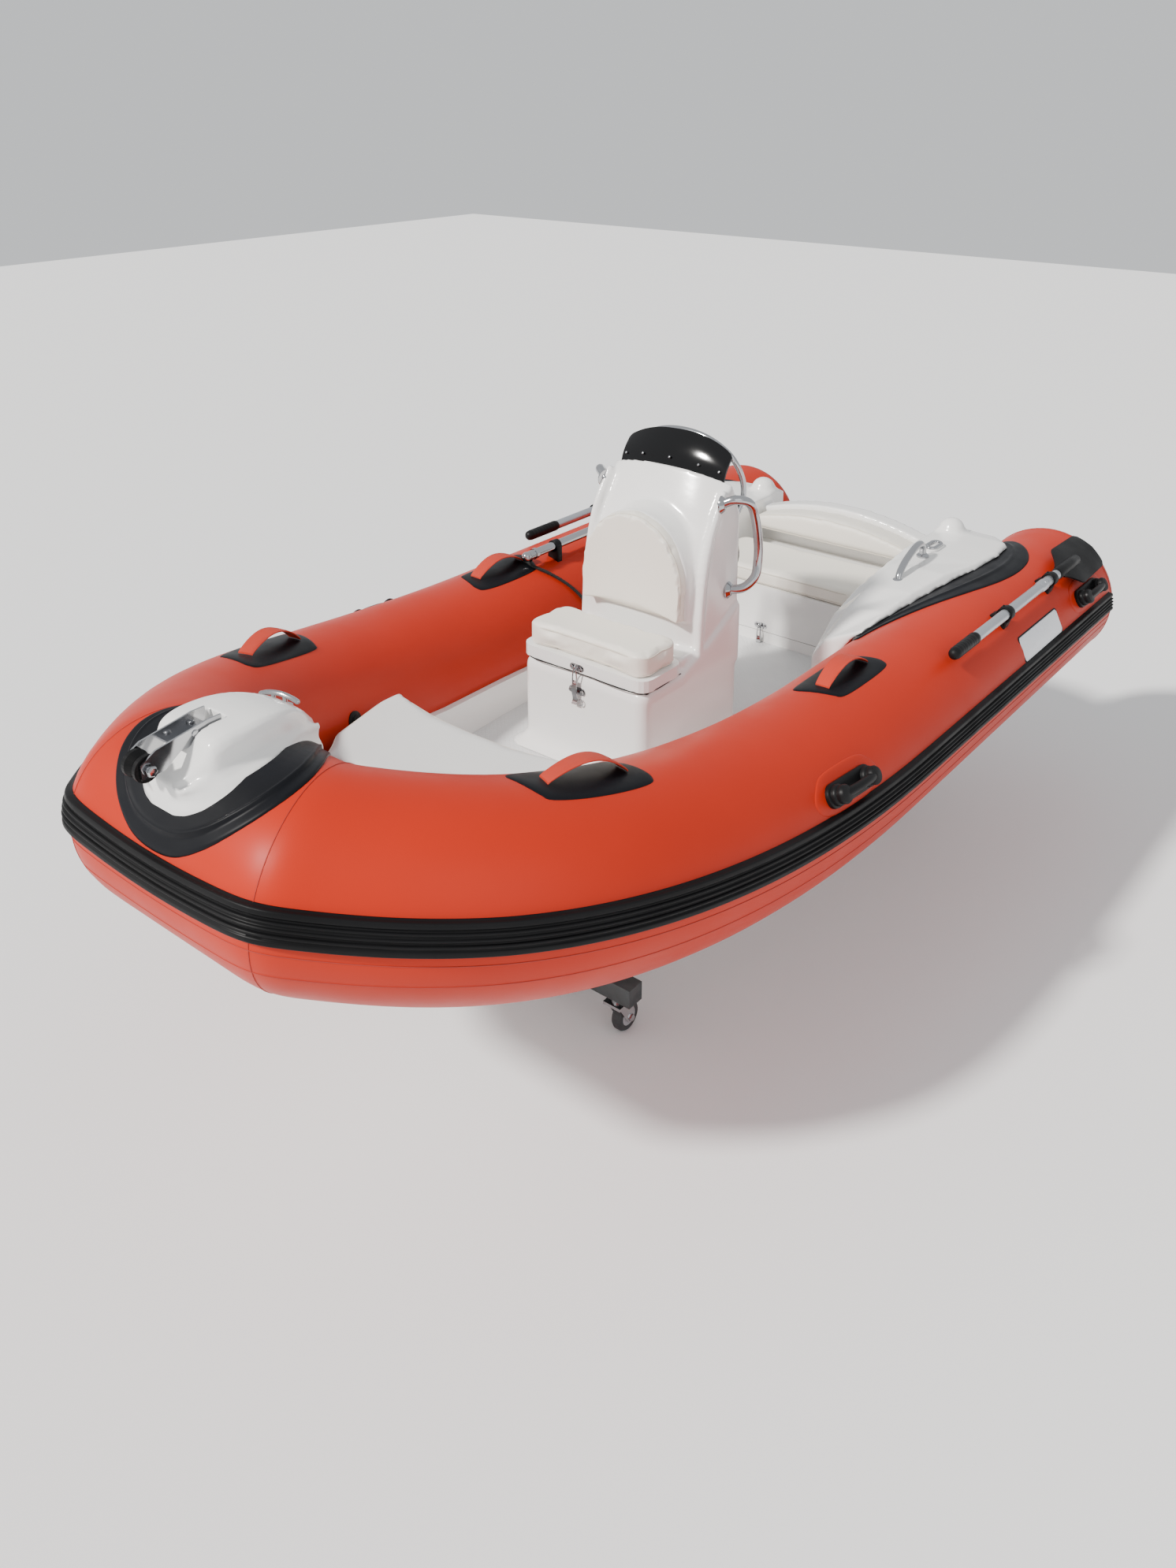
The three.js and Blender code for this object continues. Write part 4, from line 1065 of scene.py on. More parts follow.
    def _port(self, section: Section, end_y: float, coned: bool) -> list[Ring]:
        """Port rings before the corner is eased.

        Args:
            section: as in rings.
            end_y: where the run ends.
            coned: whether the end cone follows.

        Returns:
            The rings.
        """
        stations = self.stations(end_y, coned)
        first = stations[0][1]
        mitre = (Vector((1, 0, 0)) + first).normalized()
        whole = stations[-1][3] if not coned else stations[-13][3]
        rings = []
        for place, along, share, run in stations:
            out = along.cross(UP).normalized()
            up = out.cross(along)
            fade = max(0.0, 1 - run / self.mitre_blend)
            ring = []
            for o, u in section(min(1.0, run / whole), share):
                spoke = out * o + up * u
                slide = -spoke.dot(mitre) / first.dot(mitre)
                ring.append(place + spoke + along * (slide * fade))
            rings.append(ring)
        return rings

    def _bow_half(self, section: Section, corner_ring: Ring) -> list[Ring]:
        """Rings from the middle of the bow up to, not including, the port mitre's ring.

        Args:
            section: as in rings.
            corner_ring: the ring at the port mitre.

        Returns:
            The rings.
        """
        place = self.stations(self.stern_y, False)[0][0]
        across = [Vector((0, -o, u)) for o, u in section(0.0, 1.0)]
        steps = 22
        rings = []
        for i in range(steps):
            k = i / steps
            ring = []
            for spoke, end in zip(across, corner_ring):
                shift = (end - place - spoke) * k ** 2.4
                ring.append(Vector((k * place.x, place.y, place.z)) + spoke + shift)
            rings.append(ring)
        return rings


def circle(radius: float, sides: int) -> Outline:
    """A round section about the axis."""
    return [(radius * math.cos(2 * math.pi * i / sides), radius * math.sin(2 * math.pi * i / sides))
            for i in range(sides)]


# ------------------------------------------------------------------ camera, floor and light
@dataclass(frozen=True)
class Studio:
    """A plain pale floor, a soft sky, a low sun from ahead and the camera off the port bow."""

    azimuth: float = 38.862
    elevation: float = 17.111
    lens: float = 40.147
    shift_y: float = -0.2576
    eye: tuple[float, float, float] = (1.922, -2.6115, 2.241)
    floor_half: float = 14.0
    sky: float = 0.76
    sun: float = 5.2
    sun_turn: tuple[float, float] = (50.0, -22.0)
    fill: float = 28.0

    def build(self) -> None:
        """Make the camera first, then the floor and the lights."""
        camera = bpy.data.objects.new("camera", bpy.data.cameras.new("camera"))
        camera.data.sensor_fit = "HORIZONTAL"
        camera.data.lens = self.lens
        camera.data.shift_y = self.shift_y
        camera.location = self.eye
        camera.rotation_euler = (math.radians(90 - self.elevation), 0, math.radians(self.azimuth))
        bpy.context.collection.objects.link(camera)
        bpy.context.scene.camera = camera
        self._floor()
        self._lights()

    def _floor(self) -> None:
        """A pale floor that reaches past every view."""
        h = self.floor_half
        data = bpy.data.meshes.new("floor")
        data.from_pydata([(-h, -h, 0), (h, -h, 0), (h, h, 0), (-h, h, 0)], [], [(0, 1, 2, 3)])
        floor = bpy.data.objects.new("floor", data)
        bpy.context.collection.objects.link(floor)
        material = bpy.data.materials.new("floor")
        material.use_nodes = True
        shader = material.node_tree.nodes["Principled BSDF"]
        shader.inputs["Base Color"].default_value = (0.84, 0.84, 0.84, 1)
        shader.inputs["Roughness"].default_value = 0.8
        data.materials.append(material)

    def _lights(self) -> None:
        """A pale sky, a sun over the starboard bow and a broad fill from port."""
        world = bpy.data.worlds.new("studio")
        world.use_nodes = True
        background = world.node_tree.nodes["Background"]
        background.inputs["Color"].default_value = (0.96, 0.98, 1.0, 1)
        background.inputs["Strength"].default_value = self.sky
        bpy.context.scene.world = world
        sun = bpy.data.lights.new("sun", "SUN")
        sun.energy = self.sun
        sun.angle = math.radians(5)
        sun.color = (1.0, 0.97, 0.93)
        lamp = bpy.data.objects.new("sun", sun)
        lamp.rotation_euler = (math.radians(self.sun_turn[0]), 0, math.radians(self.sun_turn[1]))
        bpy.context.collection.objects.link(lamp)
        area = bpy.data.lights.new("fill", "AREA")
        area.energy = self.fill
        area.size = 3.0
        side = bpy.data.objects.new("fill", area)
        side.location = (3.6, -1.6, 2.6)
        side.rotation_euler = (Vector(side.location) - Vector((0, 0, 0.6))).to_track_quat("Z", "Y").to_euler()
        bpy.context.collection.objects.link(side)


# ------------------------------------------------------------------ rope
@dataclass
class Painter:
    """The braided painter line, from the starboard handle to its coil on the sole."""

    diameter: float = 0.010
    coil_at: tuple[float, float] = (-0.070, 0.640)
    sole: float = -0.0997
    turns: tuple[tuple[float, int], ...] = ((0.066, 0), (0.056, 0), (0.046, 0), (0.051, 1), (0.061, 1),
                                            (0.066, 2), (0.056, 2), (0.046, 2))
    entry: float = 225.0
    points_a_turn: int = 36
    step: float = 0.0030
    route: tuple[tuple[float, float, float], ...] = (
        (-0.553, 0.407, 0.217), (-0.523, 0.395, 0.211), (-0.498, 0.402, 0.202),
        (-0.471, 0.420, 0.188), (-0.427, 0.452, 0.154), (-0.392, 0.480, 0.110),
        (-0.371, 0.503, 0.058), (-0.361, 0.522, 0.014), (-0.351, 0.536, -0.001),
        (-0.339, 0.546, -0.012), (-0.336, 0.556, -0.038), (-0.333, 0.566, -0.072),
        (-0.318, 0.578, -0.092), (-0.286, 0.592, -0.0946), (-0.240, 0.612, -0.0946),
        (-0.190, 0.620, -0.0946), (-0.148, 0.612, -0.0946),
    )

    def build(self) -> None:
        knots = [Vector(p) for p in self.route] + self._coil()
        length = sum((q - p).length for p, q in zip(knots, knots[1:]))
        path = eased(knots, round(length / self.step))
        length = sum((q - p).length for p, q in zip(path, path[1:]))
        rope = make("painter", swept(path, self.diameter / 2 - 0.0004, 12, relief=self._braid), ROPE)
        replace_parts(rope, "painter_line", "painter_coil")
        knot = self._knot()
        tie = self._tie()
        log.info("painter %.3f m", length)

    def _braid(self, run: float, angle: float) -> float:
        """Relief of the braid: two families of crossing strands."""
        pitch = 2 * math.pi * run / 0.012
        return 0.0004 * max(math.sin(pitch + 3 * angle), math.sin(pitch - 3 * angle))

    def _coil(self) -> list[Vector]:
        """The coil's turns, from the outer bottom one inwards and then up.

        Returns:
            The coil's points.
        """
        out: list[Vector] = []
        count = self.points_a_turn
        blend = count // 3
        rise = self.diameter * 0.87
        turns = [(r, self.sole + self.diameter / 2 + 0.0001 + rise * layer) for r, layer in self.turns]
        for number, (r, z) in enumerate(turns):
            after = turns[number + 1] if number + 1 < len(turns) else (r, z)
            steps = count if number + 1 < len(turns) else count - blend
            for i in range(steps):
                k = max(0.0, (i - (count - blend)) / blend)
                k = k * k * (3 - 2 * k)
                a = math.radians(self.entry) + 2 * math.pi * i / count
                radius, height = r + (after[0] - r) * k, z + (after[1] - z) * k
                out.append(Vector((self.coil_at[0] + radius * math.cos(a),
                                   self.coil_at[1] + radius * math.sin(a), height)))
        return out

    def _knot(self) -> bpy.types.Object:
        """Two round turns about the handle's webbing.

        Returns:
            The piece.
        """
        x, y, z = self.route[0]
        loops = []
        for shift in (-0.007, 0.007):
            ring = [Vector((x + 0.004 + 0.013 * math.cos(a), y + shift, z + 0.004 + 0.010 * math.sin(a)))
                    for a in (2 * math.pi * i / 28 for i in range(28))]
            loops.append(swept(ring, 0.0046, 10, loop=True))
        return make("painter_knot", joined(loops), ROPE)

    def _tie(self) -> bpy.types.Object:
        """A strap round the coil that holds it.

        Returns:
            The piece.
        """
        r = (self.turns[0][0] + self.turns[2][0]) / 2
        bottom, top = self.sole + 0.0004, self.sole + 0.030
        centre = Vector((self.coil_at[0] + r, self.coil_at[1], (bottom + top) / 2))
        half_r, half_z = 0.0185, (top - bottom) / 2
        outline = [(half_r * math.copysign(abs(math.cos(a)) ** 0.5, math.cos(a)),
                    half_z * math.copysign(abs(math.sin(a)) ** 0.5, math.sin(a)))
                   for a in (2 * math.pi * i / 32 for i in range(32))]
        rings = []
        for across, share in ((-0.009, 0.94), (-0.008, 1.0), (0.008, 1.0), (0.009, 0.94)):
            rings.append([centre + Vector((a * share, across, b * share)) for a, b in outline])
        return make("coil_tie", lofted(rings), PLASTIC)


# ------------------------------------------------------------------ buoyancy tube
@dataclass
class BuoyancyTube:
    """The inflated tube with its seams, rubbing strake, patches and plates."""

    line: TubeLine = field(default_factory=TubeLine)
    strake_widths: tuple[float, float] = (0.073, 0.061)
    strake_depth: float = 0.0135
    strake_angles: tuple[float, float] = (9.2, 6.2)
    strake_end: float = 1.672
    seam_gap: float = 5.5
    plate_y: tuple[float, float] = (0.985, 1.265)
    plate_angle: tuple[float, float] = (15.8, 34.5)
    skin: BVHTree | None = None

    def build(self) -> None:
        """Make the three inflated lengths first, then what is glued on them."""
        self._lengths()
        self._strake()
        self._seams()
        self._side_plate()
        self._valves()

    def _lengths(self) -> None:
        """Bow, port and starboard lengths, and the skin that patches lie on."""
        line = self.line

        def section(_: float, share: float) -> Outline:
            """A circle, smaller along the cone."""
            return circle(line.radius * share, line.sides)

        port, bow = (lofted(rings) for rings in line.rings(section, line.stern_y, coned=True))
        pieces = {"tube_port": port, "tube_starboard": flipped(port), "tube_bow": bow}
        for node, mesh in pieces.items():
            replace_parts(make(f"inflated_{node}", mesh, TUBE_FABRIC), node)
        points, faces = joined(list(pieces.values()))
        self.skin = BVHTree.FromPolygons(points, faces)

    def _profile(self, along: float, _: float) -> Outline:
        """The strake's section: two thick lips and three rounded ribs between them.

        Args:
            along: way along the strake, 0 to 1.
            _: not used: the strake has no cone.

        Returns:
            The section.
        """
        low, high = self.strake_angles
        angle = math.radians(low + (high - low) * along)
        wide, narrow = self.strake_widths
        width = wide + (narrow - wide) * along
        out = []
        steps = 56
        for i in range(steps + 1):
            w = -0.5 + i / steps
            ribs = max(math.exp(-(((abs(w) - at) / 0.050) ** 4)) for at in (0.0, 0.155))
            lip = 0.92 * math.exp(-(((abs(w) - 0.345) / 0.105) ** 6))
            foot = 0.34 * (1 - (abs(w) / 0.5) ** 16)
            depth = self.strake_depth * max(ribs, lip, 0.62 if abs(w) < 0.34 else 0.0, foot)
            spread = angle + w * width / self.line.radius
            r = self.line.radius + depth
            out.append((r * math.cos(spread), r * math.sin(spread)))
        for w in (0.5, 0.25, 0.0, -0.25, -0.5):
            spread = angle + w * width / self.line.radius
            r = self.line.radius - 0.003
            out.append((r * math.cos(spread), r * math.sin(spread)))
        return out

    def _strake(self) -> None:
        """The rubbing strake in three lengths."""
        port, bow = (lofted(rings) for rings in self.line.rings(self._profile, self.strake_end))
        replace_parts(make("strake_rubber_port", port, RUBBER, sharp=60), "strake_port")
        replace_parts(make("strake_rubber_starboard", flipped(port), RUBBER, sharp=60), "strake_starboard")
        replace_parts(make("strake_rubber_bow", bow, RUBBER, sharp=60), "strake_bow")

    def _seams(self) -> None:
        """Seam lines: under the strake, at the mitres, and where the cones begin."""
        line = self.line

        def thread(angle_of: Callable[[float], float]) -> Section:
            """A bead's section at an angle that varies along the tube.

            Args:
                angle_of: the angle from the way along.

            Returns:
                The section.
            """
            def section(along: float, _: float) -> Outline:
                """Eight points round the bead.

                Args:
                    along: way along the tube.

                Returns:
                    The section.
                """
                a = angle_of(along)
                out, up = (line.radius - 0.0002) * math.cos(a), (line.radius - 0.0002) * math.sin(a)
                return [(out + 0.0013 * math.cos(b), up + 0.0013 * math.sin(b))
                        for b in (2 * math.pi * i / 8 for i in range(8))]
            return section

        low, high = self.strake_angles
        under = thread(lambda k: math.radians(low + (high - low) * k - 9.6 - self.seam_gap))
        lower = thread(lambda k: math.radians(low - 30 + 6 * k))
        meshes = []
        for section in (under, lower):
            port, bow = (lofted(rings) for rings in line.rings(section, line.stern_y))
            meshes += [port, flipped(port), bow]
        around = circle(line.radius + 0.0001, 120)
        corner = line.rings(lambda *_: around, line.stern_y)[0][0]
        mitre = swept(corner, 0.0010, 8, loop=True)
        cone = swept([Vector((line.half_beam + o, line.stern_y, u)) for o, u in around], 0.0010, 8, loop=True)
        meshes += [mitre, flipped(mitre), cone, flipped(cone)]
        make("tube_seams", joined(meshes), SEAM)

    def patch(self, outline: Outline, proud: float, rings: int = 6,
              profile: Callable[[float], float] | None = None) -> Mesh:
        """A sheet glued on the port tube; its outline is in (y, degrees) about the tube.

        Args:
            outline: the corners in order, eased into a smooth line.
            proud: thickness of the sheet.
            rings: rings from the middle to the edge.
            profile: share of the thickness from the way out to the edge.

        Returns:
            The closed mesh.
        """
        edge = eased([(y, d / 100, 0) for y, d in outline], 96, closed=True)[:-1]
        middle = sum(edge, Vector()) / len(edge)
        shape = profile or (lambda k: min(1.0, (1 - k) * 14) ** 0.5)
        levels: list[Ring] = []
        for i in range(rings + 3):
            k = [*((j + 1) / (rings + 1) for j in range(rings)), 0.955, 0.985, 1.0][i]
            levels.append([self.line.skin(p.x, p.y * 100, proud * shape(k) + 0.0002)
                           for p in (middle.lerp(q, k) for q in edge)])
        levels.append([self.line.skin(q.x, q.y * 100, -0.003) for q in edge])
        return lofted(levels)

    def draped(self, outline: Outline, hole: Outline,
               heights: Callable[[float, int], float], count: int, rings: int = 14) -> Mesh:
        """A band laid on the skin from above, between a hidden inner line and its outer edge.

        Args:
            outline: outer line in plan.
            hole: inner line in plan, under the fairing.
            heights: how far it stands proud, from the way out and the index round.
            count: points round.
            rings: rings across.

        Returns:
            The closed mesh.
        """
        outer = eased([(x, y, 0) for x, y in outline], count, closed=True)[:-1]
        inner = eased([(x, y, 0) for x, y in hole], count, closed=True)[:-1]
        levels: list[Ring] = []
        spread = [0.0, *((i / rings) for i in range(1, rings)), 0.975, 0.992, 1.0]
        for k in spread:
            ring = []
            for j, (p, q) in enumerate(zip(inner, outer)):
                place, normal = self.on_top(p.lerp(q, k))
                ring.append(place + normal * heights(k, j))
            levels.append(ring)
        under = []
        for q in outer:
            place, normal = self.on_top(q)
            under.append(place - normal * 0.004)
        base = []
        for p in inner:
            place, normal = self.on_top(p)
            base.append(place - normal * 0.006)
        levels = [base, *levels, under]
        points, faces = lofted([*levels, base], caps=False)
        return points, faces

    def on_top(self, place: Vector) -> tuple[Vector, Vector]:
        """The skin straight below a point in plan, with its outward normal.

        Args:
            place: the point.

        Returns:
            The place and the normal.
        """
        hit, normal, _, _ = self.skin.ray_cast(Vector((place.x, place.y, 2.0)), Vector((0, 0, -1)))
        if hit is None:
            hit, normal, _, _ = self.skin.find_nearest(Vector((place.x, place.y, 0.1)))
        return hit, normal if normal.z > 0 else -normal

    def _side_plate(self) -> None:
        """The blank white plate on each quarter, with its thin dark edge."""
        (y0, y1), (a0, a1) = self.plate_y, self.plate_angle
        inset = 0.010

        def sheet(grow: float, proud: float) -> Mesh:
            """A plate on the skin.

            Args:
                grow: how far past the plate's edge.
                proud: its thickness.

            Returns:
                The points and faces.
            """
            g = math.degrees(grow / self.line.radius)
            corners = []
            for y, a, sy, sa in ((y0, a0, -1, -1), (y1, a0, 1, -1), (y1, a1, 1, 1), (y0, a1, -1, 1)):
                corners += self._corner(y + sy * grow, a + sa * g, sy, sa, inset)
            edge = corners
            middle = (sum(y for y, _ in edge) / len(edge), sum(d for _, d in edge) / len(edge))
            levels = []
            for k in (0.12, 0.3, 0.5, 0.7, 0.86, 0.97, 1.0):
                height = proud if k < 1 else proud * 0.4
                levels.append([self.line.skin(middle[0] + (y - middle[0]) * k,
                                              middle[1] + (d - middle[1]) * k, height) for y, d in edge])
            levels.append([self.line.skin(y, d, -0.002) for y, d in edge])
            return lofted(levels)

        port = sheet(0, 0.0022)
        backing = sheet(0.004, 0.0010)
        make("side_plates", joined([port, flipped(port)]), PLATE)
        make("side_plate_backing", joined([backing, flipped(backing)]), PATCH)

    def _corner(self, y: float, a: float, sy: int, sa: int, r: float) -> Outline:
        """A rounded corner of the plate in (y, degrees).

        Args:
            y: the sharp corner's station.
            a: its degrees.
            sy: side fore or aft.
            sa: side down or up.
            r: the radius.

        Returns:
            Seven points.
        """
        turn = math.degrees(r / self.line.radius)
        start = {(-1, -1): 180, (1, -1): 270, (1, 1): 0, (-1, 1): 90}[(sy, sa)]
        return [(y - sy * r + r * math.cos(math.radians(start + 15 * i)),
                 a - sa * turn + turn * math.sin(math.radians(start + 15 * i))) for i in range(7)]

    def _valves(self) -> None:
        """Inflation valves inside the tube and a pressure cap on each cone's end."""
        meshes = []
        for y, degrees in ((-0.55, 168), (0.75, 160), (1.28, 164)):
            foot = self.line.skin(y, degrees, -0.004)
            normal = (self.line.skin(y, degrees, 0.02) - foot).normalized()
            meshes.append(turned([(0.0, 0), (0.026, 0), (0.026, 0.0055), (0.022, 0.0075), (0.017, 0.0085),
                                  (0.016, 0.012), (0.006, 0.0135), (0.0, 0.0135)], foot, normal))
        end = Vector((self.line.half_beam, self.line.stern_y + self.line.cone - 0.001, 0))
        meshes.append(turned([(0.0, 0), (0.030, 0), (0.029, 0.002), (0.0, 0.003)], end, Vector((0, 1, 0))))
        port = joined(meshes)
        make("tube_valves", joined([port, flipped(port)]), PLASTIC)


@dataclass
class TubeHandles:
    """Webbing and moulded handles with their patches, on both sides."""

    tube: BuoyancyTube
    strap_half: float = 5.0
    strap_thick: float = 0.0036
    carry_angle: float = 28.0
    carry_half: float = 0.027

    def build(self) -> None:
        """Make the webbing pairs and the moulded carrying pairs."""
        self._webbing("front_handle", -0.632, 0.186, 92,
                      [(-0.782, 104), (-0.775, 96), (-0.748, 80), (-0.735, 76), (-0.640, 73.5),
                       (-0.512, 75), (-0.498, 79), (-0.500, 90), (-0.522, 106), (-0.535, 110),
                       (-0.640, 111.5), (-0.768, 109)])
        self._webbing("middle_handle", 0.300, 0.198, 92,
                      [(0.154, 104), (0.160, 96), (0.186, 81), (0.200, 77), (0.300, 75.5),
                       (0.428, 77), (0.442, 81), (0.438, 91), (0.416, 106), (0.402, 110),
                       (0.300, 111.5), (0.168, 109)])
        self._carry("carry_handle_fore", 0.0)
        self._carry("carry_handle_aft", 1.500)

    def _pair(self, stem: str, node: str, mesh: Mesh, finish: Finish, replace: bool = False) -> None:
        """Make a piece on both sides, for a node of each side where asked.

        Args:
            stem: start of the pieces' names.
            node: start of the nodes' names.
            mesh: the port mesh.
            finish: their finish.
            replace: whether they replace the nodes.
        """
        for side, made in by_side(mesh):
            piece = make(f"{stem}_{side}", made, finish)
            if replace:
                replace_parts(piece, f"{node}_{side}")

    def _webbing(self, node: str, y: float, span: float, angle: float,
                 outline: Outline) -> None:
        """A flat strap that arches over a black patch.

        Args:
            node: start of the nodes' names.
            y: its middle.
            span: its length.
            angle: round the tube.
            outline: of the patch.
        """
        line = self.tube.line
        rings = []
        count = 36
        for i in range(count + 1):
            k = i / count
            at = y + (k - 0.5) * span
            lift = 0.0042 + 0.037 * math.sin(math.pi * k) ** 0.85
            half = self.strap_half
            ring = []
            for a, h in ((-1, 0.2), (-0.96, 0.0), (-0.5, -0.02), (0.5, -0.02), (0.96, 0.0), (1, 0.2),
                         (1, 0.8), (0.96, 1.0), (0.5, 1.06), (-0.5, 1.06), (-0.96, 1.0), (-1, 0.8)):
                ring.append(line.skin(at, angle + a * half, lift + h * self.strap_thick))
            rings.append(ring)
        self._pair(f"{node}_strap", node, lofted(rings), WEBBING, replace=True)
        self._pair(f"{node}_patch", node, self.tube.patch(outline, 0.0030), PATCH)

    def _carry(self, node: str, y: float) -> None:
        """A moulded grip between two bosses, on an orange reinforcing patch.

        Args:
            node: start of the nodes' names.
            y: its middle.
        """
        line = self.tube.line
        angle, width = self.carry_angle, self.carry_half

        def spot(shift: float, proud: float) -> Vector:
            """A point over the handle's middle line."""
            return line.skin(y + shift, angle, proud)

        normal = (spot(0, 0.05) - spot(0, 0)).normalized()
        half = math.degrees(width / line.radius)
        outline = oblong(0.184, 2 * width, 10)
        rings = []
        for keep, proud in ((0.55, 0.012), (0.86, 0.012), (0.97, 0.0100), (1.0, 0.006), (1.0, -0.002)):
            rings.append([line.skin(y + a * (1 - (1 - keep) * 0.3), angle + b / width * half * keep, proud)
                          for a, b in outline])
        meshes = [lofted(rings)]
        for end in (-0.062, 0.062):
            foot = spot(end, 0.006)
            meshes.append(turned([(0.0, 0), (0.0235, 0), (0.0240, 0.012), (0.0225, 0.0165), (0.0205, 0.0180),
                                  (0.0205, 0.0240), (0.0215, 0.0250), (0.0215, 0.0300), (0.0185, 0.0350),
                                  (0.0, 0.0368)], foot, normal, 36))
        bow = [spot(-0.062, 0.030), spot(-0.048, 0.034), spot(-0.030, 0.0365), spot(0, 0.0375),
               spot(0.030, 0.0365), spot(0.048, 0.034), spot(0.062, 0.030)]
        meshes.append(swept(eased(bow, 30), 0.0105, 18))
        self._pair(f"{node}_moulding", node, joined(meshes), PLASTIC, replace=True)
        tall = math.degrees(0.050 / line.radius)
        patch = [(y - 0.128, angle), (y - 0.112, angle + tall * 0.55), (y - 0.075, angle + tall),
                 (y + 0.075, angle + tall), (y + 0.112, angle + tall * 0.55), (y + 0.128, angle),
                 (y + 0.112, angle - tall * 0.55), (y + 0.075, angle - tall * 0.80),
                 (y - 0.075, angle - tall * 0.80), (y - 0.112, angle - tall * 0.55)]
        self._pair(f"{node}_patch", node, self.tube.patch(patch, 0.0018), TUBE_FABRIC)

# ------------------------------------------------------------------ bow fairing
@dataclass
class BowFairing:
    """The moulded fairing over the bow with its rubber skirt, cleat and roller bracket."""

    tube: BuoyancyTube
    frame: dict
    skirt: tuple[tuple[float, float], ...] = (
        (0.0, -1.243), (0.090, -1.235), (0.160, -1.207), (0.208, -1.160), (0.227, -1.105),
        (0.220, -1.048), (0.190, -0.994), (0.150, -0.950), (0.112, -0.912), (0.066, -0.880),
        (0.0, -0.868))
    sections: tuple[tuple[float, float, float, float, float], ...] = (
        (-1.213, 0.034, 0.026, 0.394, 0.372), (-1.207, 0.062, 0.044, 0.400, 0.376),
        (-1.190, 0.096, 0.060, 0.412, 0.383), (-1.168, 0.123, 0.074, 0.440, 0.389),
        (-1.150, 0.137, 0.082, 0.468, 0.393), (-1.125, 0.147, 0.087, 0.4765, 0.397),
        (-1.085, 0.150, 0.090, 0.478, 0.402), (-1.040, 0.141, 0.086, 0.476, 0.404),
        (-0.995, 0.120, 0.076, 0.468, 0.400), (-0.950, 0.093, 0.060, 0.452, 0.392),
        (-0.915, 0.073, 0.046, 0.430, 0.382), (-0.884, 0.058, 0.034, 0.396, 0.372))
    skirt_middle: float = -1.058
    slot_half: float = 0.0275
    slot_floor: float = 0.4475

    def build(self) -> None:
        """Make the shell, then the skirt round it and the fittings on it."""
        self._shell()
        self._skirt()
        self._cleat()
        self._bracket()

    def _shell(self) -> None:
        """A low leaf-shaped base with a steep-sided plateau, scooped flanks and a slot for the bracket."""
        rings = []
        for y, foot, top, z, base in self._eased_sections(64):
            half = [(0.0, z), (top * 0.55, z - 0.0005), (top * 0.88, z - 0.003), (top, z - 0.010),
                    (top + 0.006, z - 0.022), (top + 0.012, base + 0.022), (top + 0.020, base + 0.012),
                    (top + (foot - top) * 0.55, base + 0.003), (foot - 0.012, base - 0.012),
                    (foot, base - 0.026), (foot, base - 0.15)]
            ring = [Vector((x, y, h)) for x, h in half]
            ring += [Vector((-x, y, h)) for x, h in reversed(half[1:])]
            rings.append(ring)
        block = framed(lofted(rings))
        cuts = [framed(slab([(-self.slot_half, -1.30), (self.slot_half, -1.30),
                             (self.slot_half, -1.080), (-self.slot_half, -1.080)],
                            (0, 0, self.slot_floor), Vector((1, 0, 0)), Vector((0, 1, 0)), 0.12))]
        for side in (-1, 1):
            scoop = [(side * 0.062, -1.128, 0.492), (side * 0.064, -1.085, 0.4855),
                     (side * 0.058, -1.030, 0.4850), (side * 0.044, -0.975, 0.4830),
                     (side * 0.028, -0.930, 0.478)]
            cuts.append(framed(swept(eased(scoop, 30), 0.0165, 20)))
        data = moulded([block], 0.0034, 3, cut=cuts)
        shell = settle("bow_fairing_shell", data, GELCOAT, BOAT, sharp=75)
        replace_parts(shell, "bow_fairing")

    def _eased_sections(self, count: int) -> list[tuple[float, ...]]:
        """The sections eased lengthways into evenly spaced ones.

        Args:
            count: of steps.

        Returns:
            The sections.
        """
        columns = list(zip(*self.sections))
        lines = [eased([(y, value, 0) for y, value in zip(columns[0], column)], 400)
                 for column in columns[1:]]
        first, last = columns[0][0], columns[0][-1]
        out = []
        for i in range(count + 1):
            y = first + (last - first) * i / count
            values = [min(line, key=lambda p: abs(p.x - y)).y for line in lines]
            out.append((y, *values))
        return out

    def _skirt(self) -> None:
        """The rubber skirt: a flat outer band, a rounded bead and a rise to the shell."""
        outer = [*self.skirt, *((-x, y) for x, y in reversed(self.skirt[1:-1]))]
        inner = [(x * 0.56, self.skirt_middle + (y - self.skirt_middle) * 0.66) for x, y in outer]

        def heights(k: float, _: int) -> float:
            """How far the skirt stands proud.

            Args:
                k: way out, 0 to 1.

            Returns:
                The height.
            """
            edge = min(1.0, (1 - k) * 22) ** 0.5
            bead = 0.0050 * math.exp(-((k - 0.70) / 0.035) ** 2)
            rise = 0.0055 * max(0.0, min(1.0, (0.72 - k) / 0.06))
            return 0.0042 * edge + bead + rise

        skirt = make("bow_skirt", self.tube.draped(outer, inner, heights, 150, 34), PATCH, sharp=60)
        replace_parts(skirt, "bow_gasket")

    def _cleat(self) -> None:
        """A chromed two-horned cleat at the after end of the shell."""
        centre = Vector((-0.022, -0.922, 0.432))
        along = Vector((1, 0.25, 0.0)).normalized()
        meshes = [slab(oblong(0.062, 0.022), centre - UP * 0.010, along, UP.cross(along), 0.006, 0.002)]
        for k in (-0.014, 0.014):
            meshes.append(turned([(0.0, 0), (0.0065, 0), (0.0045, 0.012), (0.005, 0.020), (0.0, 0.022)],
                                 centre + along * k - UP * 0.006, UP, 18))
        horn = [centre + along * x + UP * (0.016 - 0.6 * x * x * 8)
                for x in (-0.044, -0.030, -0.014, 0, 0.014, 0.030, 0.044)]
        meshes.append(swept(eased(horn, 24), 0.0052, 14))
        make("bow_cleat", joined(meshes), STAINLESS)

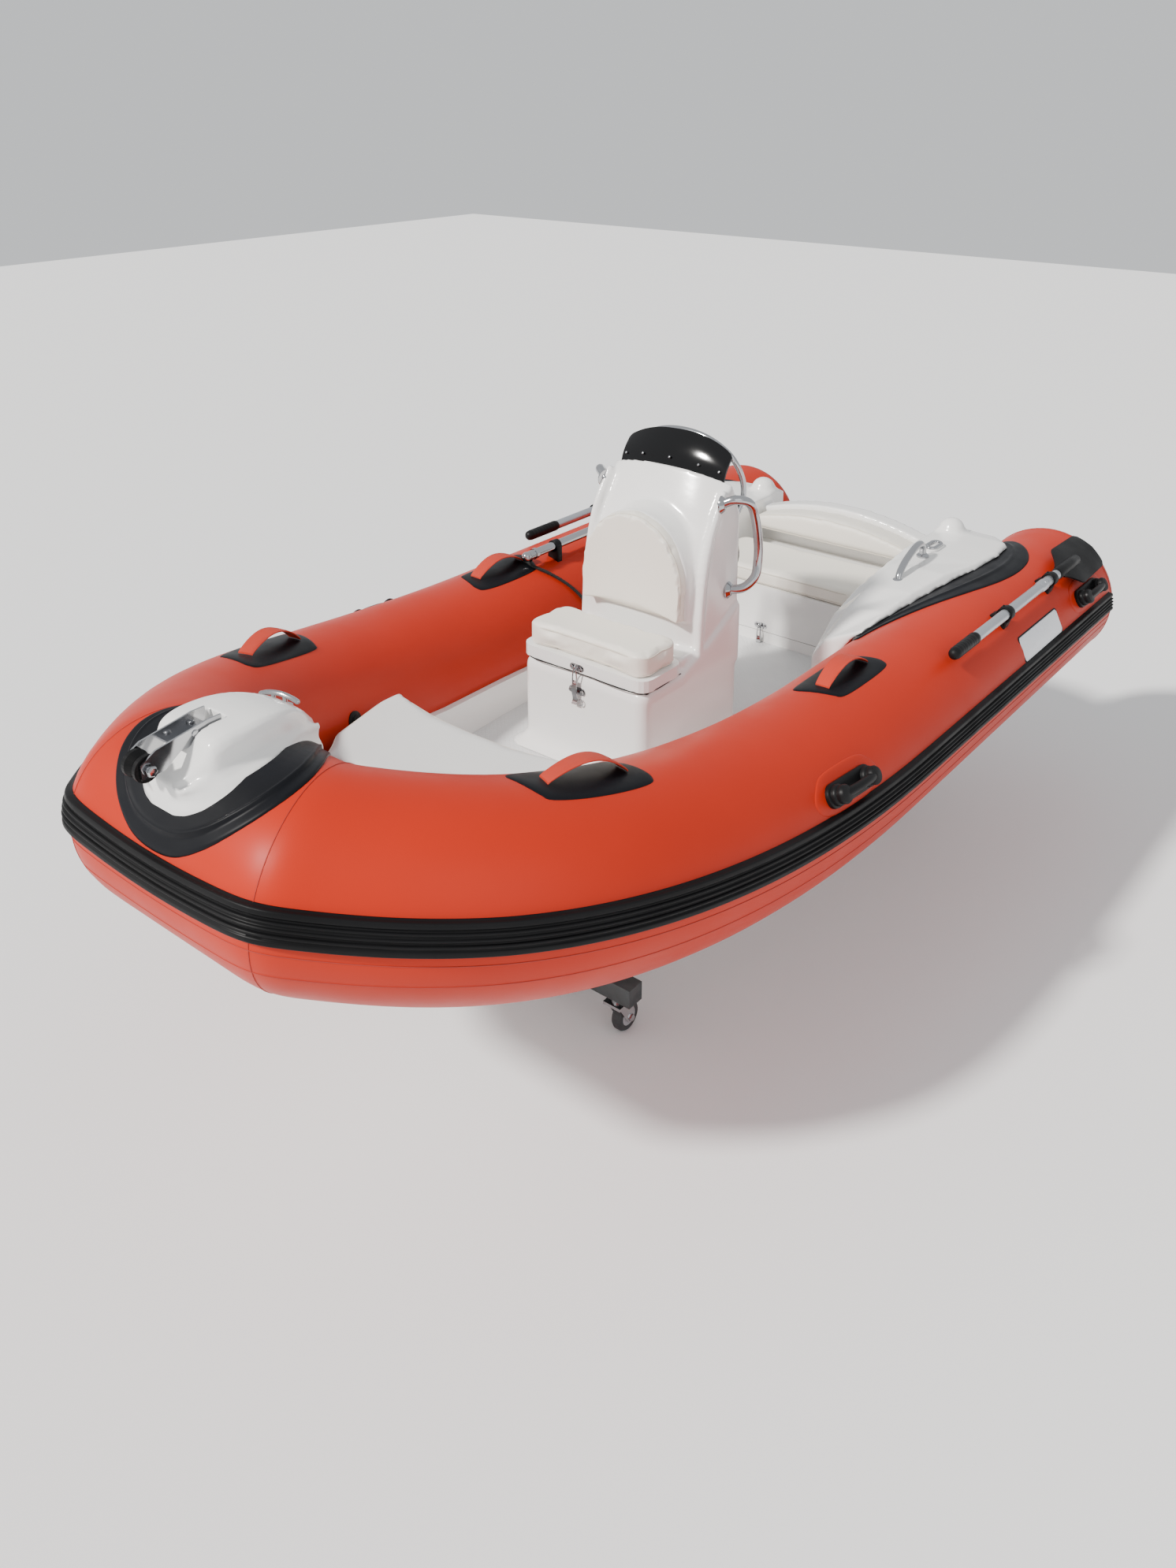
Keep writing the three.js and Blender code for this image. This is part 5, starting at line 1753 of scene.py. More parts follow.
    def _bracket(self) -> None:
        """Dress the bracket and roller, and add the pin's heads and the deck bolts."""
        STAINLESS.dress(self.frame["nodes"]["roller_bracket"])
        RUBBER.dress(self.frame["nodes"]["anchor_roller"])
        meshes = []
        pin = Vector((0, -1.246, 0.438))
        for side in (-1, 1):
            base = pin + Vector((side * 0.0325, 0, 0))
            meshes.append(turned([(0.0, 0), (0.0105, 0), (0.0105, 0.005), (0.008, 0.0075), (0.0, 0.0085)],
                                 base, Vector((side, 0, 0)), 6 if side > 0 else 20))
            meshes.append(turned([(0.0, 0), (0.0075, 0), (0.0065, 0.003), (0.0, 0.0045)],
                                 (side * 0.0262, -1.148, 0.470), Vector((side, 0, 0)), 20))
        for y in (-1.160, -1.108):
            meshes.append(turned([(0.0, 0), (0.0085, 0), (0.0080, 0.003), (0.0055, 0.0055), (0.0, 0.006)],
                                 (0, y, 0.4518), UP, 20))
        make("bracket_bolts", joined(meshes), STAINLESS)


# ------------------------------------------------------------------ cushions
@dataclass
class Cushion:
    """A padded seat or back: its CAD block, blown up gently as cloth and piped along its edges."""

    node: str
    body: str
    finish: Finish
    voxel: float = 0.006
    shrink: float = 0.0015
    cap: float = 0.008
    pressure: float = 4.0
    frames: int = 20
    fill: float = 0.85
    seams: tuple[tuple[str, float], ...] = (("z", -0.008), ("z", 0.010))
    piping: float = 0.0022

    def build(self, frame: dict) -> None:
        """Args:
            frame: the loaded frame.
        """
        source = frame["nodes"][self.node].data
        low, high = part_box(self.node)
        data = moulded([source], self.voxel, 2)
        self._shift(data, -self.shrink)
        data = self._blow(data)
        for vertex in data.vertices:
            for axis in range(3):
                spare = 0.0030 if axis == 2 else 0.0015
                vertex.co[axis] = min(max(vertex.co[axis], low[axis] + 0.0004), high[axis] + spare)
        soft = working(data)
        smooth = soft.modifiers.new("smooth", "SMOOTH")
        smooth.factor, smooth.iterations = 0.5, 2
        finer = soft.modifiers.new("finer", "SUBSURF")
        finer.levels = finer.render_levels = 1
        made = applied(soft)
        bpy.data.objects.remove(soft)
        pad = settle(f"{self.node}_pad", made, self.finish, self.body, sharp=80)
        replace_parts(pad, self.node)
        self._pipe(made, low, high)

    @staticmethod
    def _shift(data: bpy.types.Mesh, distance: float) -> None:
        """Move a skin along its normals.

        Args:
            data: the skin.
            distance: outwards.
        """
        moves = [v.normal * distance for v in data.vertices]
        for vertex, move in zip(data.vertices, moves):
            vertex.co += move

    def _blow(self, data: bpy.types.Mesh) -> bpy.types.Mesh:
        """Swell the skin by cloth simulation, no point moving further than the cap.

        Args:
            data: the skin.

        Returns:
            The swollen skin.
        """
        scene = bpy.context.scene
        soft = working(data)
        start = [v.co.copy() for v in data.vertices]
        cloth = soft.modifiers.new("cloth", "CLOTH")
        settings = cloth.settings
        settings.quality = 4
        settings.mass = 0.4
        settings.tension_stiffness = settings.compression_stiffness = 30
        settings.bending_stiffness = 3.0
        settings.use_pressure = True
        settings.uniform_pressure_force = self.pressure
        settings.effector_weights.gravity = 0
        scene.frame_start, scene.frame_end = 1, self.frames
        for frame_number in range(1, self.frames + 1):
            scene.frame_set(frame_number)
        made = applied(soft)
        bpy.data.objects.remove(soft)
        for vertex, was in zip(made.vertices, start):
            move = vertex.co - was
            if move.length > self.cap:
                vertex.co = was + move.normalized() * self.cap
        return made

    def _pipe(self, data: bpy.types.Mesh, low: Vector, high: Vector) -> None:
        """Lay piping where planes near the pad's faces cut its sides.

        Args:
            data: the pad's mesh.
            low: its node's lowest corner.
            high: its highest corner.
        """
        work = bmesh.new()
        work.from_mesh(data)
        skin = BVHTree.FromBMesh(work)
        work.free()
        centre = (low + high) / 2
        rings = []
        for axis_name, inset in self.seams:
            axis = "xyz".index(axis_name)
            level = (high[axis] if inset < 0 else low[axis]) + inset
            others = [i for i in range(3) if i != axis]
            ring = []
            count = 160
            for i in range(count):
                a = 2 * math.pi * i / count
                way = Vector((0, 0, 0))
                way[others[0]] = math.cos(a) * (high - low)[others[0]]
                way[others[1]] = math.sin(a) * (high - low)[others[1]]
                way.normalize()
                eye = centre + way * 2
                eye[axis] = level
                hit, _, _, _ = skin.ray_cast(eye, -way)
                if hit is not None:
                    ring.append(hit - way * self.piping * 0.35)
            if len(ring) > count * 0.9:
                for _ in range(5):
                    ring = [(ring[i - 1] + ring[i] * 2 + ring[(i + 1) % len(ring)]) / 4
                            for i in range(len(ring))]
                even = evenly([*ring, ring[0]], 260)[:-1]
                rings.append(swept(even, self.piping, 8, loop=True))
        if rings:
            points, faces = joined(rings)
            # The piping's finish is darker than the vinyl: painted shade along the seam.
            make(f"{self.node}_piping", ([p - LIFT for p in points], faces), PIPING_PAINTED_SHADE, self.body)


# ------------------------------------------------------------------ latches
@dataclass
class ToggleLatch:
    """A stainless toggle latch: a catch plate on the lid, and a lever with its bail on the box."""

    name: str
    top: tuple[float, float, float]
    lid_body: str
    facing: Vector = field(default_factory=lambda: Vector((0, -1, 0)))

    def build(self) -> None:
        """Make the catch on the lid and the lever below it."""
        out = self.facing
        across = UP.cross(out).normalized()
        origin = Vector(self.top)
        catch = [slab(oblong(0.046, 0.019), origin, across, -out.cross(across), 0.0022, 0.0008)]
        for k in (-0.0145, 0.0145):
            catch.append(turned([(0.0, 0), (0.0040, 0), (0.0034, 0.0018), (0.0, 0.0026)],
                                origin + across * k + out * 0.002, out, 16))
        hook = [origin + out * 0.002 + UP * -0.002, origin + out * 0.009 + UP * -0.004,
                origin + out * 0.010 + UP * 0.004, origin + out * 0.006 + UP * 0.008]
        catch.append(swept(eased(hook, 14), 0.0026, 10))
        make(f"{self.name}_catch", joined(catch), STAINLESS, self.lid_body)
        base = origin - UP * 0.052
        lever = [slab(oblong(0.052, 0.020), base - UP * 0.012, across, -out.cross(across), 0.0022, 0.0008)]
        for k in (-0.018, 0.018):
            lever.append(turned([(0.0, 0), (0.0058, 0), (0.0050, 0.0032), (0.0, 0.0042)],
                                base - UP * 0.012 + across * k + out * 0.002, out, 16))
        arm = [base + out * 0.006 + UP * 0.018, base + out * 0.011 + UP * 0.004,
               base + out * 0.011 - UP * 0.014, base + out * 0.007 - UP * 0.034,
               base + out * 0.012 - UP * 0.046]
        lever.append(strip(eased(arm, 20), across, 0.0075, 0.0018))
        for k in (-1, 1):
            bail = [base + across * (k * 0.0062) + out * 0.009 - UP * 0.002,
                    base + across * (k * 0.0062) + out * 0.009 + UP * 0.030,
                    base + across * (k * 0.0030) + out * 0.009 + UP * 0.049]
            lever.append(swept(eased(bail, 14), 0.0018, 8))
        ring = [base - UP * 0.040 + across * (0.016 + 0.0065 * math.cos(a))
                + UP * (0.0085 * math.sin(a)) + out * 0.004
                for a in (2 * math.pi * i / 24 for i in range(24))]
        lever.append(swept(ring, 0.0014, 8, loop=True))
        make(f"{self.name}_lever", joined(lever), STAINLESS)


# ------------------------------------------------------------------ console
@dataclass
class Console:
    """The console with its seat box, windscreen, rails, wheel and dash."""

    frame: dict
    half: float = 0.200
    y: tuple[float, float] = (-0.008, 0.425)
    seat_top: float = 0.158
    tower_half: float = 0.190
    tower_top: float = 0.606
    foot_z: float = -0.0995
    dash_drop: float = 0.092
    screen_rise: float = 0.082
    screen_lean: float = 0.62
    front: tuple[tuple[float, float], ...] = ((0.232, 0.138), (0.234, 0.330), (0.262, 0.425),
                                              (0.310, 0.520), (0.366, 0.606))
    wheel_radius: float = 0.126
    wheel_centre: tuple[float, float, float] = (0.0, 0.500, 0.385)
    wheel_rake: float = 20.0

    def build(self) -> None:
        """Make the moulding, then what is fixed to it."""
        self._moulding()
        self._screen()
        self._rails()
        self._wheel()
        self._dash()
        GELCOAT.dress(self.frame["nodes"]["seat_lid"])
        self._lid_detail()
        ToggleLatch("seat_latch", (-0.012, -0.0105, 0.172), "seat").build()

    def crown(self, x: float) -> float:
        """Rise of the tower's top across its breadth."""
        return 0.026 * (1 - (x / self.tower_half) ** 2)

    def _tower_rings(self) -> list[Ring]:
        """Side views of the tower from starboard to port, its front bowed and its shoulders rounded.

        Returns:
            The rings.
        """
        rear = self.y[1]
        front = eased([(0, y, z) for y, z in self.front], 24)
        rings = []
        count = 44
        for i in range(count + 1):
            x = -self.tower_half + 2 * self.tower_half * i / count
            edge = abs(x) / self.tower_half
            bow = -0.016 * (1 - edge ** 2) + 0.016 * edge ** 4
            rise = self.crown(x)
            ring = []
            for p in front:
                lift = rise * max(0.0, (p.z - 0.5) / (self.tower_top - 0.5)) if p.z > 0.5 else 0.0
                ring.append(Vector((x, p.y + bow, p.z + lift)))
            ring.append(Vector((x, 0.392, self.tower_top - 0.022 + rise * 0.8)))
            ring.append(Vector((x, rear, self.tower_top - self.dash_drop)))
            ring.append(Vector((x, rear, self.seat_top - 0.020)))
            rings.append(ring)
        return rings

    def _moulding(self) -> None:
        """Fuse box, foot, tower, swept side moulding and pilasters, and cut the locker."""
        inside = self.half - 0.012
        well = rounded_box((-inside, self.y[0] + 0.012, -0.088), (inside, 0.138, 0.30), 0.02)
        parts = [
            rounded_box((-self.half, self.y[0], self.foot_z), (self.half, self.y[1], self.seat_top), 0.03, 6),
            lofted(self._tower_rings()),
            self._foot(),
            rounded_box((-0.186, 0.166, 0.14), (0.186, 0.27, 0.188), 0.008),
            self._side_sweep(),
            self._rest_boss(),
            *self._pilasters(),
            self._helm(),
        ]
        data = moulded([framed(p) for p in parts], 0.0053, 5, cut=[framed(well)])
        shell = settle("console_moulding", data, GELCOAT, BOAT, sharp=75)
        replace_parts(shell, "console")

    def _foot(self) -> Mesh:
        """The flare at the foot of the seat box.

        Returns:
            The points and faces.
        """
        rings = []
        for k in range(7):
            a = math.radians(15 * k)
            spread, rise = 0.060 * (1 - math.sin(a)), 0.052 * (1 - math.cos(a))
            plan = []
            r = 0.034 + spread / 2
            x1, y0, y1 = self.half + spread, self.y[0] - spread, self.y[1] + spread * 0.4
            for cx, cy, start in ((x1 - r, y1 - r, 0), (-x1 + r, y1 - r, 90), (-x1 + r, y0 + r, 180),
                                  (x1 - r, y0 + r, 270)):
                for i in range(6):
                    b = math.radians(start + 18 * i)
                    plan.append(Vector((cx + r * math.cos(b), cy + r * math.sin(b), self.foot_z + rise)))
            rings.append(plan)
        return lofted(rings)

    def _side_sweep(self) -> Mesh:
        """The box's shoulder, which sweeps up towards the back on both sides of the tower.

        Returns:
            The points and faces.
        """
        line = eased([(0, 0.166, 0.150), (0, 0.200, 0.168), (0, 0.262, 0.188), (0, 0.330, 0.222),
                      (0, 0.385, 0.252), (0, 0.424, 0.268)], 16)
        rings = []
        for x in (-self.half, -self.half + 0.003, self.half - 0.003, self.half):
            drop = 0.003 if abs(x) == self.half else 0.0
            rings.append([Vector((x, p.y, p.z - drop)) for p in line]
                         + [Vector((x, 0.424, 0.10)), Vector((x, 0.166, 0.10))])
        return lofted(rings)

    def _rest_boss(self) -> Mesh:
        """The arched boss on the tower's front that carries the backrest.

        Returns:
            The points and faces.
        """
        rings = []
        for y, grow in ((0.216, -0.003), (0.219, 0.001), (0.260, 0.003), (0.345, 0.010)):
            half, foot, top = 0.165 + grow, 0.266 - grow, 0.535 + grow
            base = 0.344
            arch = [Vector((half * math.cos(a), y, base + (top - base) * math.sin(a)))
                    for a in (math.pi * i / 28 for i in range(29))]
            rings.append([Vector((-half, y, foot)), Vector((half, y, foot)), *arch])
        return lofted(rings)

    def _pilasters(self) -> list[Mesh]:
        """A rounded rib down each side of the tower, from the rail's head to the box.

        Returns:
            Both ribs.
        """
        path = [(self.tower_half - 0.006, 0.345, 0.585), (self.tower_half - 0.004, 0.292, 0.500),
                (self.tower_half - 0.003, 0.262, 0.400), (self.tower_half - 0.002, 0.248, 0.290),
                (self.tower_half - 0.001, 0.244, 0.180)]
        ribs = []
        for side in (-1, 1):
            ribs.append(swept(eased([(side * x, y, z) for x, y, z in path], 20), 0.0115, 14))
        return ribs

    def _helm(self) -> Mesh:
        """The boss and shaft that carry the wheel.

        Returns:
            The points and faces.
        """
        rake = math.radians(self.wheel_rake)
        axis = Vector((0, math.cos(rake), math.sin(rake)))
        return turned([(0.0, -0.130), (0.046, -0.130), (0.040, -0.070), (0.034, -0.030), (0.028, -0.026),
                       (0.011, -0.0255), (0.011, 0.013), (0.0, 0.013)],
                      Vector(self.wheel_centre), axis, 40)

    def _screen(self) -> None:
        """The smoked screen with its rolled edge and screws."""
        half = self.tower_half - 0.024
        foot_y = self.front[-1][0]
        rings = []
        count = 48
        for i in range(count + 1):
            x = -half + 2 * half * i / count
            edge = abs(x) / half
            y = foot_y - 0.012 * (1 - edge ** 2) + 0.008
            corner = max(0.0, (edge - 0.94) / 0.06)
            rise = self.screen_rise * (1 - 0.28 * edge ** 3) * (1 - 0.10 * corner ** 2)
            foot = self.tower_top + self.crown(x) - 0.004
            low = Vector((x, y - 0.004 * self.screen_lean, foot - 0.002))
            high = Vector((x, y + rise * self.screen_lean, foot + rise + 0.004))
            through = Vector((0, 0.0046, -0.0028))
            ring = [low.lerp(high, k / 6) + Vector((0, -0.006 * math.sin(math.pi * k / 6), 0))
                    for k in range(7)]
            ring += [p + through for p in reversed(ring)]
            rings.append(ring)
        screen = make("smoked_screen", lofted(rings), ACRYLIC, sharp=50)
        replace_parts(screen, "windscreen")
        screws = []
        for x in (-0.150, -0.090, 0.0, 0.090, 0.150):
            edge = abs(x) / half
            y = foot_y - 0.012 * (1 - edge ** 2) + 0.008
            place = Vector((x, y + 0.004, self.tower_top + self.crown(x) + 0.016))
            screws.append(turned([(0.0, -0.002), (0.0032, -0.002), (0.0032, 0.0012), (0.0020, 0.0022),
                                  (0.0, 0.0024)],
                                 place - Vector((0, 0.0030, 0)), Vector((0, -0.85, 0.53)), 16))
        make("screen_screws", joined(screws), STAINLESS)

    def _rails(self) -> None:
        """The hoop over the screen and the grab rails, with their flanges."""
        top = self.tower_top
        screen_y = self.front[-1][0] + self.screen_rise * self.screen_lean
        half = [(0.172, self.y[1] + 0.0085, top - 0.096), (0.172, self.y[1] + 0.034, top - 0.060),
                (0.168, self.y[1] + 0.034, top - 0.010), (0.148, screen_y + 0.013, top + 0.056),
                (0.080, screen_y + 0.012, top + 0.092)]
        hoop = [(-x, y, z) for x, y, z in half] + [(0, screen_y + 0.011, top + 0.104)] + half[::-1]
        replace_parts(make("screen_rail", swept(eased(hoop, 120), 0.0078, 18), STAINLESS), "screen_hoop")
        out = self.half + 0.042
        rail = [(self.tower_half - 0.002, 0.330, 0.562), (self.tower_half + 0.012, 0.336, 0.570),
                (self.tower_half + 0.030, 0.346, 0.577), (out - 0.002, 0.378, 0.566), (out, 0.404, 0.530),
                (out, 0.430, 0.440), (out, 0.431, 0.390), (out - 0.001, 0.420, 0.350),
                (self.tower_half + 0.034, 0.396, 0.324), (self.tower_half + 0.014, 0.380, 0.318),
                (self.tower_half - 0.002, 0.373, 0.316)]
        bar = swept(eased(rail, 90), 0.0122, 20)
        flanges = []
        for y, z in ((0.330, 0.562), (0.373, 0.316)):
            flanges.append(turned([(0.0, -0.002), (0.024, -0.002), (0.024, 0.002), (0.0205, 0.0045),
                                   (0.016, 0.009), (0.0125, 0.011), (0.0, 0.011)],
                                  (self.tower_half - 0.001, y, z), Vector((1, 0.25, 0.05)), 28))
            for a in (30, 150, 270):
                spoke = Vector((0, math.cos(math.radians(a)), math.sin(math.radians(a)))) * 0.0180
                flanges.append(turned([(0.0, 0), (0.0030, 0), (0.0024, 0.0016), (0.0, 0.002)],
                                      Vector((self.tower_half + 0.0025, y, z)) + spoke,
                                      Vector((1, 0.2, 0)), 12))
        mesh = joined([bar, *flanges])
        for side, made in by_side(mesh):
            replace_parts(make(f"grab_rail_{side}", made, STAINLESS), f"console_rail_{side}")

    def _wheel(self) -> None:
        """The steering wheel: a gripped rim, three dished spokes and a cap."""
        rake = math.radians(self.wheel_rake)
        axis = Vector((0, math.cos(rake), math.sin(rake)))
        down = Vector((0, math.sin(rake), -math.cos(rake)))
        across = Vector((1, 0, 0))
        centre = Vector(self.wheel_centre)
        rim_path = [centre + (across * math.cos(a) + down * math.sin(a)) * self.wheel_radius
                    for a in (2 * math.pi * i / 120 for i in range(120))]
        rim = swept(rim_path, 0.0104, 20, loop=True,
                    relief=lambda run, a: 0.0006 * math.cos(2 * math.pi * run / 0.033) ** 2)
        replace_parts(make("wheel_rim", rim, PLASTIC, "helm_wheel"), "steering_wheel")
        metal = []
        for degrees in (90, 210, 330):
            a = math.radians(degrees)
            spoke = across * math.cos(a) + down * math.sin(a)
            side = axis.cross(spoke)
            path = [centre + spoke * 0.020 + axis * 0.004, centre + spoke * 0.050 + axis * 0.002,
                    centre + spoke * 0.090, centre + spoke * (self.wheel_radius - 0.002)]
            metal.append(strip(eased(path, 16), side, 0.0115, 0.0042))
        metal.append(turned([(0.0116, -0.015), (0.030, -0.015), (0.036, -0.006), (0.036, 0.006),
                             (0.0116, 0.008)], centre, axis, 40))
        make("wheel_spokes", joined(metal), STAINLESS, "helm_wheel")
        cap = turned([(0.0, 0.0145), (0.026, 0.0145), (0.030, 0.0160), (0.0295, 0.020), (0.022, 0.0230),
                      (0.008, 0.0245), (0.0, 0.0245)], centre, axis, 40)
        make("wheel_cap", cap, PLASTIC, "helm_wheel")

    def _dash(self) -> None:
        """Two dials and a row of rocker switches on the sloping dash."""
        low = Vector((0, self.y[1], self.tower_top - self.dash_drop))
        high = Vector((0, 0.392, self.tower_top - 0.006))
        up = (high - low).normalized()
        out = Vector((1, 0, 0)).cross(up).normalized()
        if out.y < 0:
            out = -out
        middle = (low + high) / 2 + out * 0.002
        bezels, faces, switches = [], [], []
        for x in (-0.085, 0.085):
            place = middle + Vector((x, 0, 0))
            bezels.append(turned([(0.0, -0.004), (0.034, -0.004), (0.034, 0.004), (0.031, 0.0065),
                                  (0.028, 0.0045), (0.0, 0.0045)], place, out, 36))
            faces.append(turned([(0.0, 0.0046), (0.0275, 0.0046), (0.0275, 0.0050), (0.0, 0.0052)],
                                place, out, 36))
        for i in range(4):
            place = middle + Vector((-0.030 + 0.020 * i, 0, 0))
            switches.append(slab(oblong(0.026, 0.015, 4), place, up, out.cross(up), 0.006, 0.0015))
        make("dial_bezels", joined(bezels), STAINLESS)
        make("dial_faces", joined(faces), GLASS_DIAL)
        make("rocker_switches", joined(switches), PLASTIC)

    def _lid_detail(self) -> None:
        """A thin rubber seal that shows under the seat lid."""
        h = self.half - 0.002
        path = [(-h, 0.150, 0.1582), (-h, 0.020, 0.1582), (-h + 0.026, -0.0085, 0.1582), (0, -0.0092, 0.1582),
                (h - 0.026, -0.0085, 0.1582), (h, 0.020, 0.1582), (h, 0.150, 0.1582)]
        make("seat_lid_seal", swept(eased(path, 80), 0.0014, 8), RUBBER)


# ------------------------------------------------------------------ stern
@dataclass
class Stern:
    """The stern moulding with its rubber skirts, bench, handles and cleats."""

    tube: BuoyancyTube
    frame: dict
    skirt: tuple[tuple[float, float], ...] = (
        (0.466, 0.585), (0.480, 0.640), (0.530, 0.800), (0.592, 1.010), (0.624, 1.160), (0.633, 1.290),
        (0.618, 1.390), (0.574, 1.472), (0.510, 1.530), (0.455, 1.546), (0.425, 1.500))
    handle: tuple[tuple[float, float, float], ...] = (
        (0.392, 0.968, 0.203), (0.390, 0.980, 0.225), (0.3875, 1.005, 0.244), (0.3845, 1.055, 0.264),
        (0.381, 1.105, 0.2745), (0.379, 1.136, 0.272), (0.3775, 1.155, 0.258), (0.377, 1.161, 0.224))

    def build(self) -> None:
        """Make the moulding first, then its skirts and fittings."""
        source = self.frame["nodes"]["stern_moulding"].data
        data = moulded([source], 0.0064, 2)
        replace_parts(settle("stern_shell", data, GELCOAT, BOAT, sharp=75), "stern_moulding")
        self._skirts()
        self._handles()
        for node in ("bench_box", "bench_lid"):
            GELCOAT.dress(self.frame["nodes"][node])
        ToggleLatch("bench_latch", (-0.050, 0.9492, -0.045), "bench").build()

    def _skirts(self) -> None:
        """A leaf-shaped rubber skirt under each side's fairing."""
        outer = list(self.skirt) + [(0.410, 1.40), (0.408, 1.20), (0.408, 1.0), (0.410, 0.80), (0.425, 0.640)]
        inner = [(0.430 + (x - 0.430) * 0.42, 1.12 + (y - 1.12) * 0.86) for x, y in outer]

        def heights(k: float, _: int) -> float:
            """How far the skirt stands proud.

            Args:
                k: way out, 0 to 1.

            Returns:
                The height.
            """
            edge = min(1.0, (1 - k) * 22) ** 0.5
            bead = 0.0045 * math.exp(-((k - 0.60) / 0.05) ** 2)
            return 0.0040 * edge + bead

        mesh = self.tube.draped(outer, inner, heights, 150, 26)
        for side, made in by_side(mesh):
            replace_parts(make(f"stern_skirt_{side}", made, PATCH, sharp=60), f"stern_gasket_{side}")

    def _handles(self) -> None:
        """Bent steel handles on oval feet."""
        bar = swept(eased(self.handle, 70), 0.0106, 18)
        feet = []
        for x, y, z in ((0.391, 0.970, 0.208), (0.377, 1.161, 0.2285)):
            feet.append(turned([(0.0, -0.006), (0.019, -0.006), (0.019, 0.001), (0.015, 0.005),
                                (0.011, 0.008), (0.0, 0.008)], (x, y, z), UP, 28))
        mesh = joined([bar, *feet])
        for side, made in by_side(mesh):
            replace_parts(make(f"stern_grab_{side}", made, STAINLESS), f"stern_handle_{side}")
        self._fairleads()

    def _fairleads(self) -> None:
        """An oval steel fairlead on a raised white boss behind each handle."""
        centre = Vector((0.374, 1.243, 0.2255))
        boss = slab([(a * 1.25, b * 1.25) for a, b in oblong(0.074, 0.036, 10)], centre - UP * 0.006,
                    Vector((0, 1, 0)), UP.cross(Vector((0, 1, 0))), 0.015, 0.003)
        loop = [centre + UP * 0.012 + Vector((b, a, 0)) for a, b in oblong(0.068, 0.030, 12)]
        ring = swept(evenly([*loop, loop[0]], 60)[:-1], 0.0058, 14, loop=True)
        for (side, raised), (_, oval) in zip(by_side(boss), by_side(ring)):
            make(f"fairlead_boss_{side}", raised, GELCOAT)
            make(f"fairlead_ring_{side}", oval, STAINLESS)


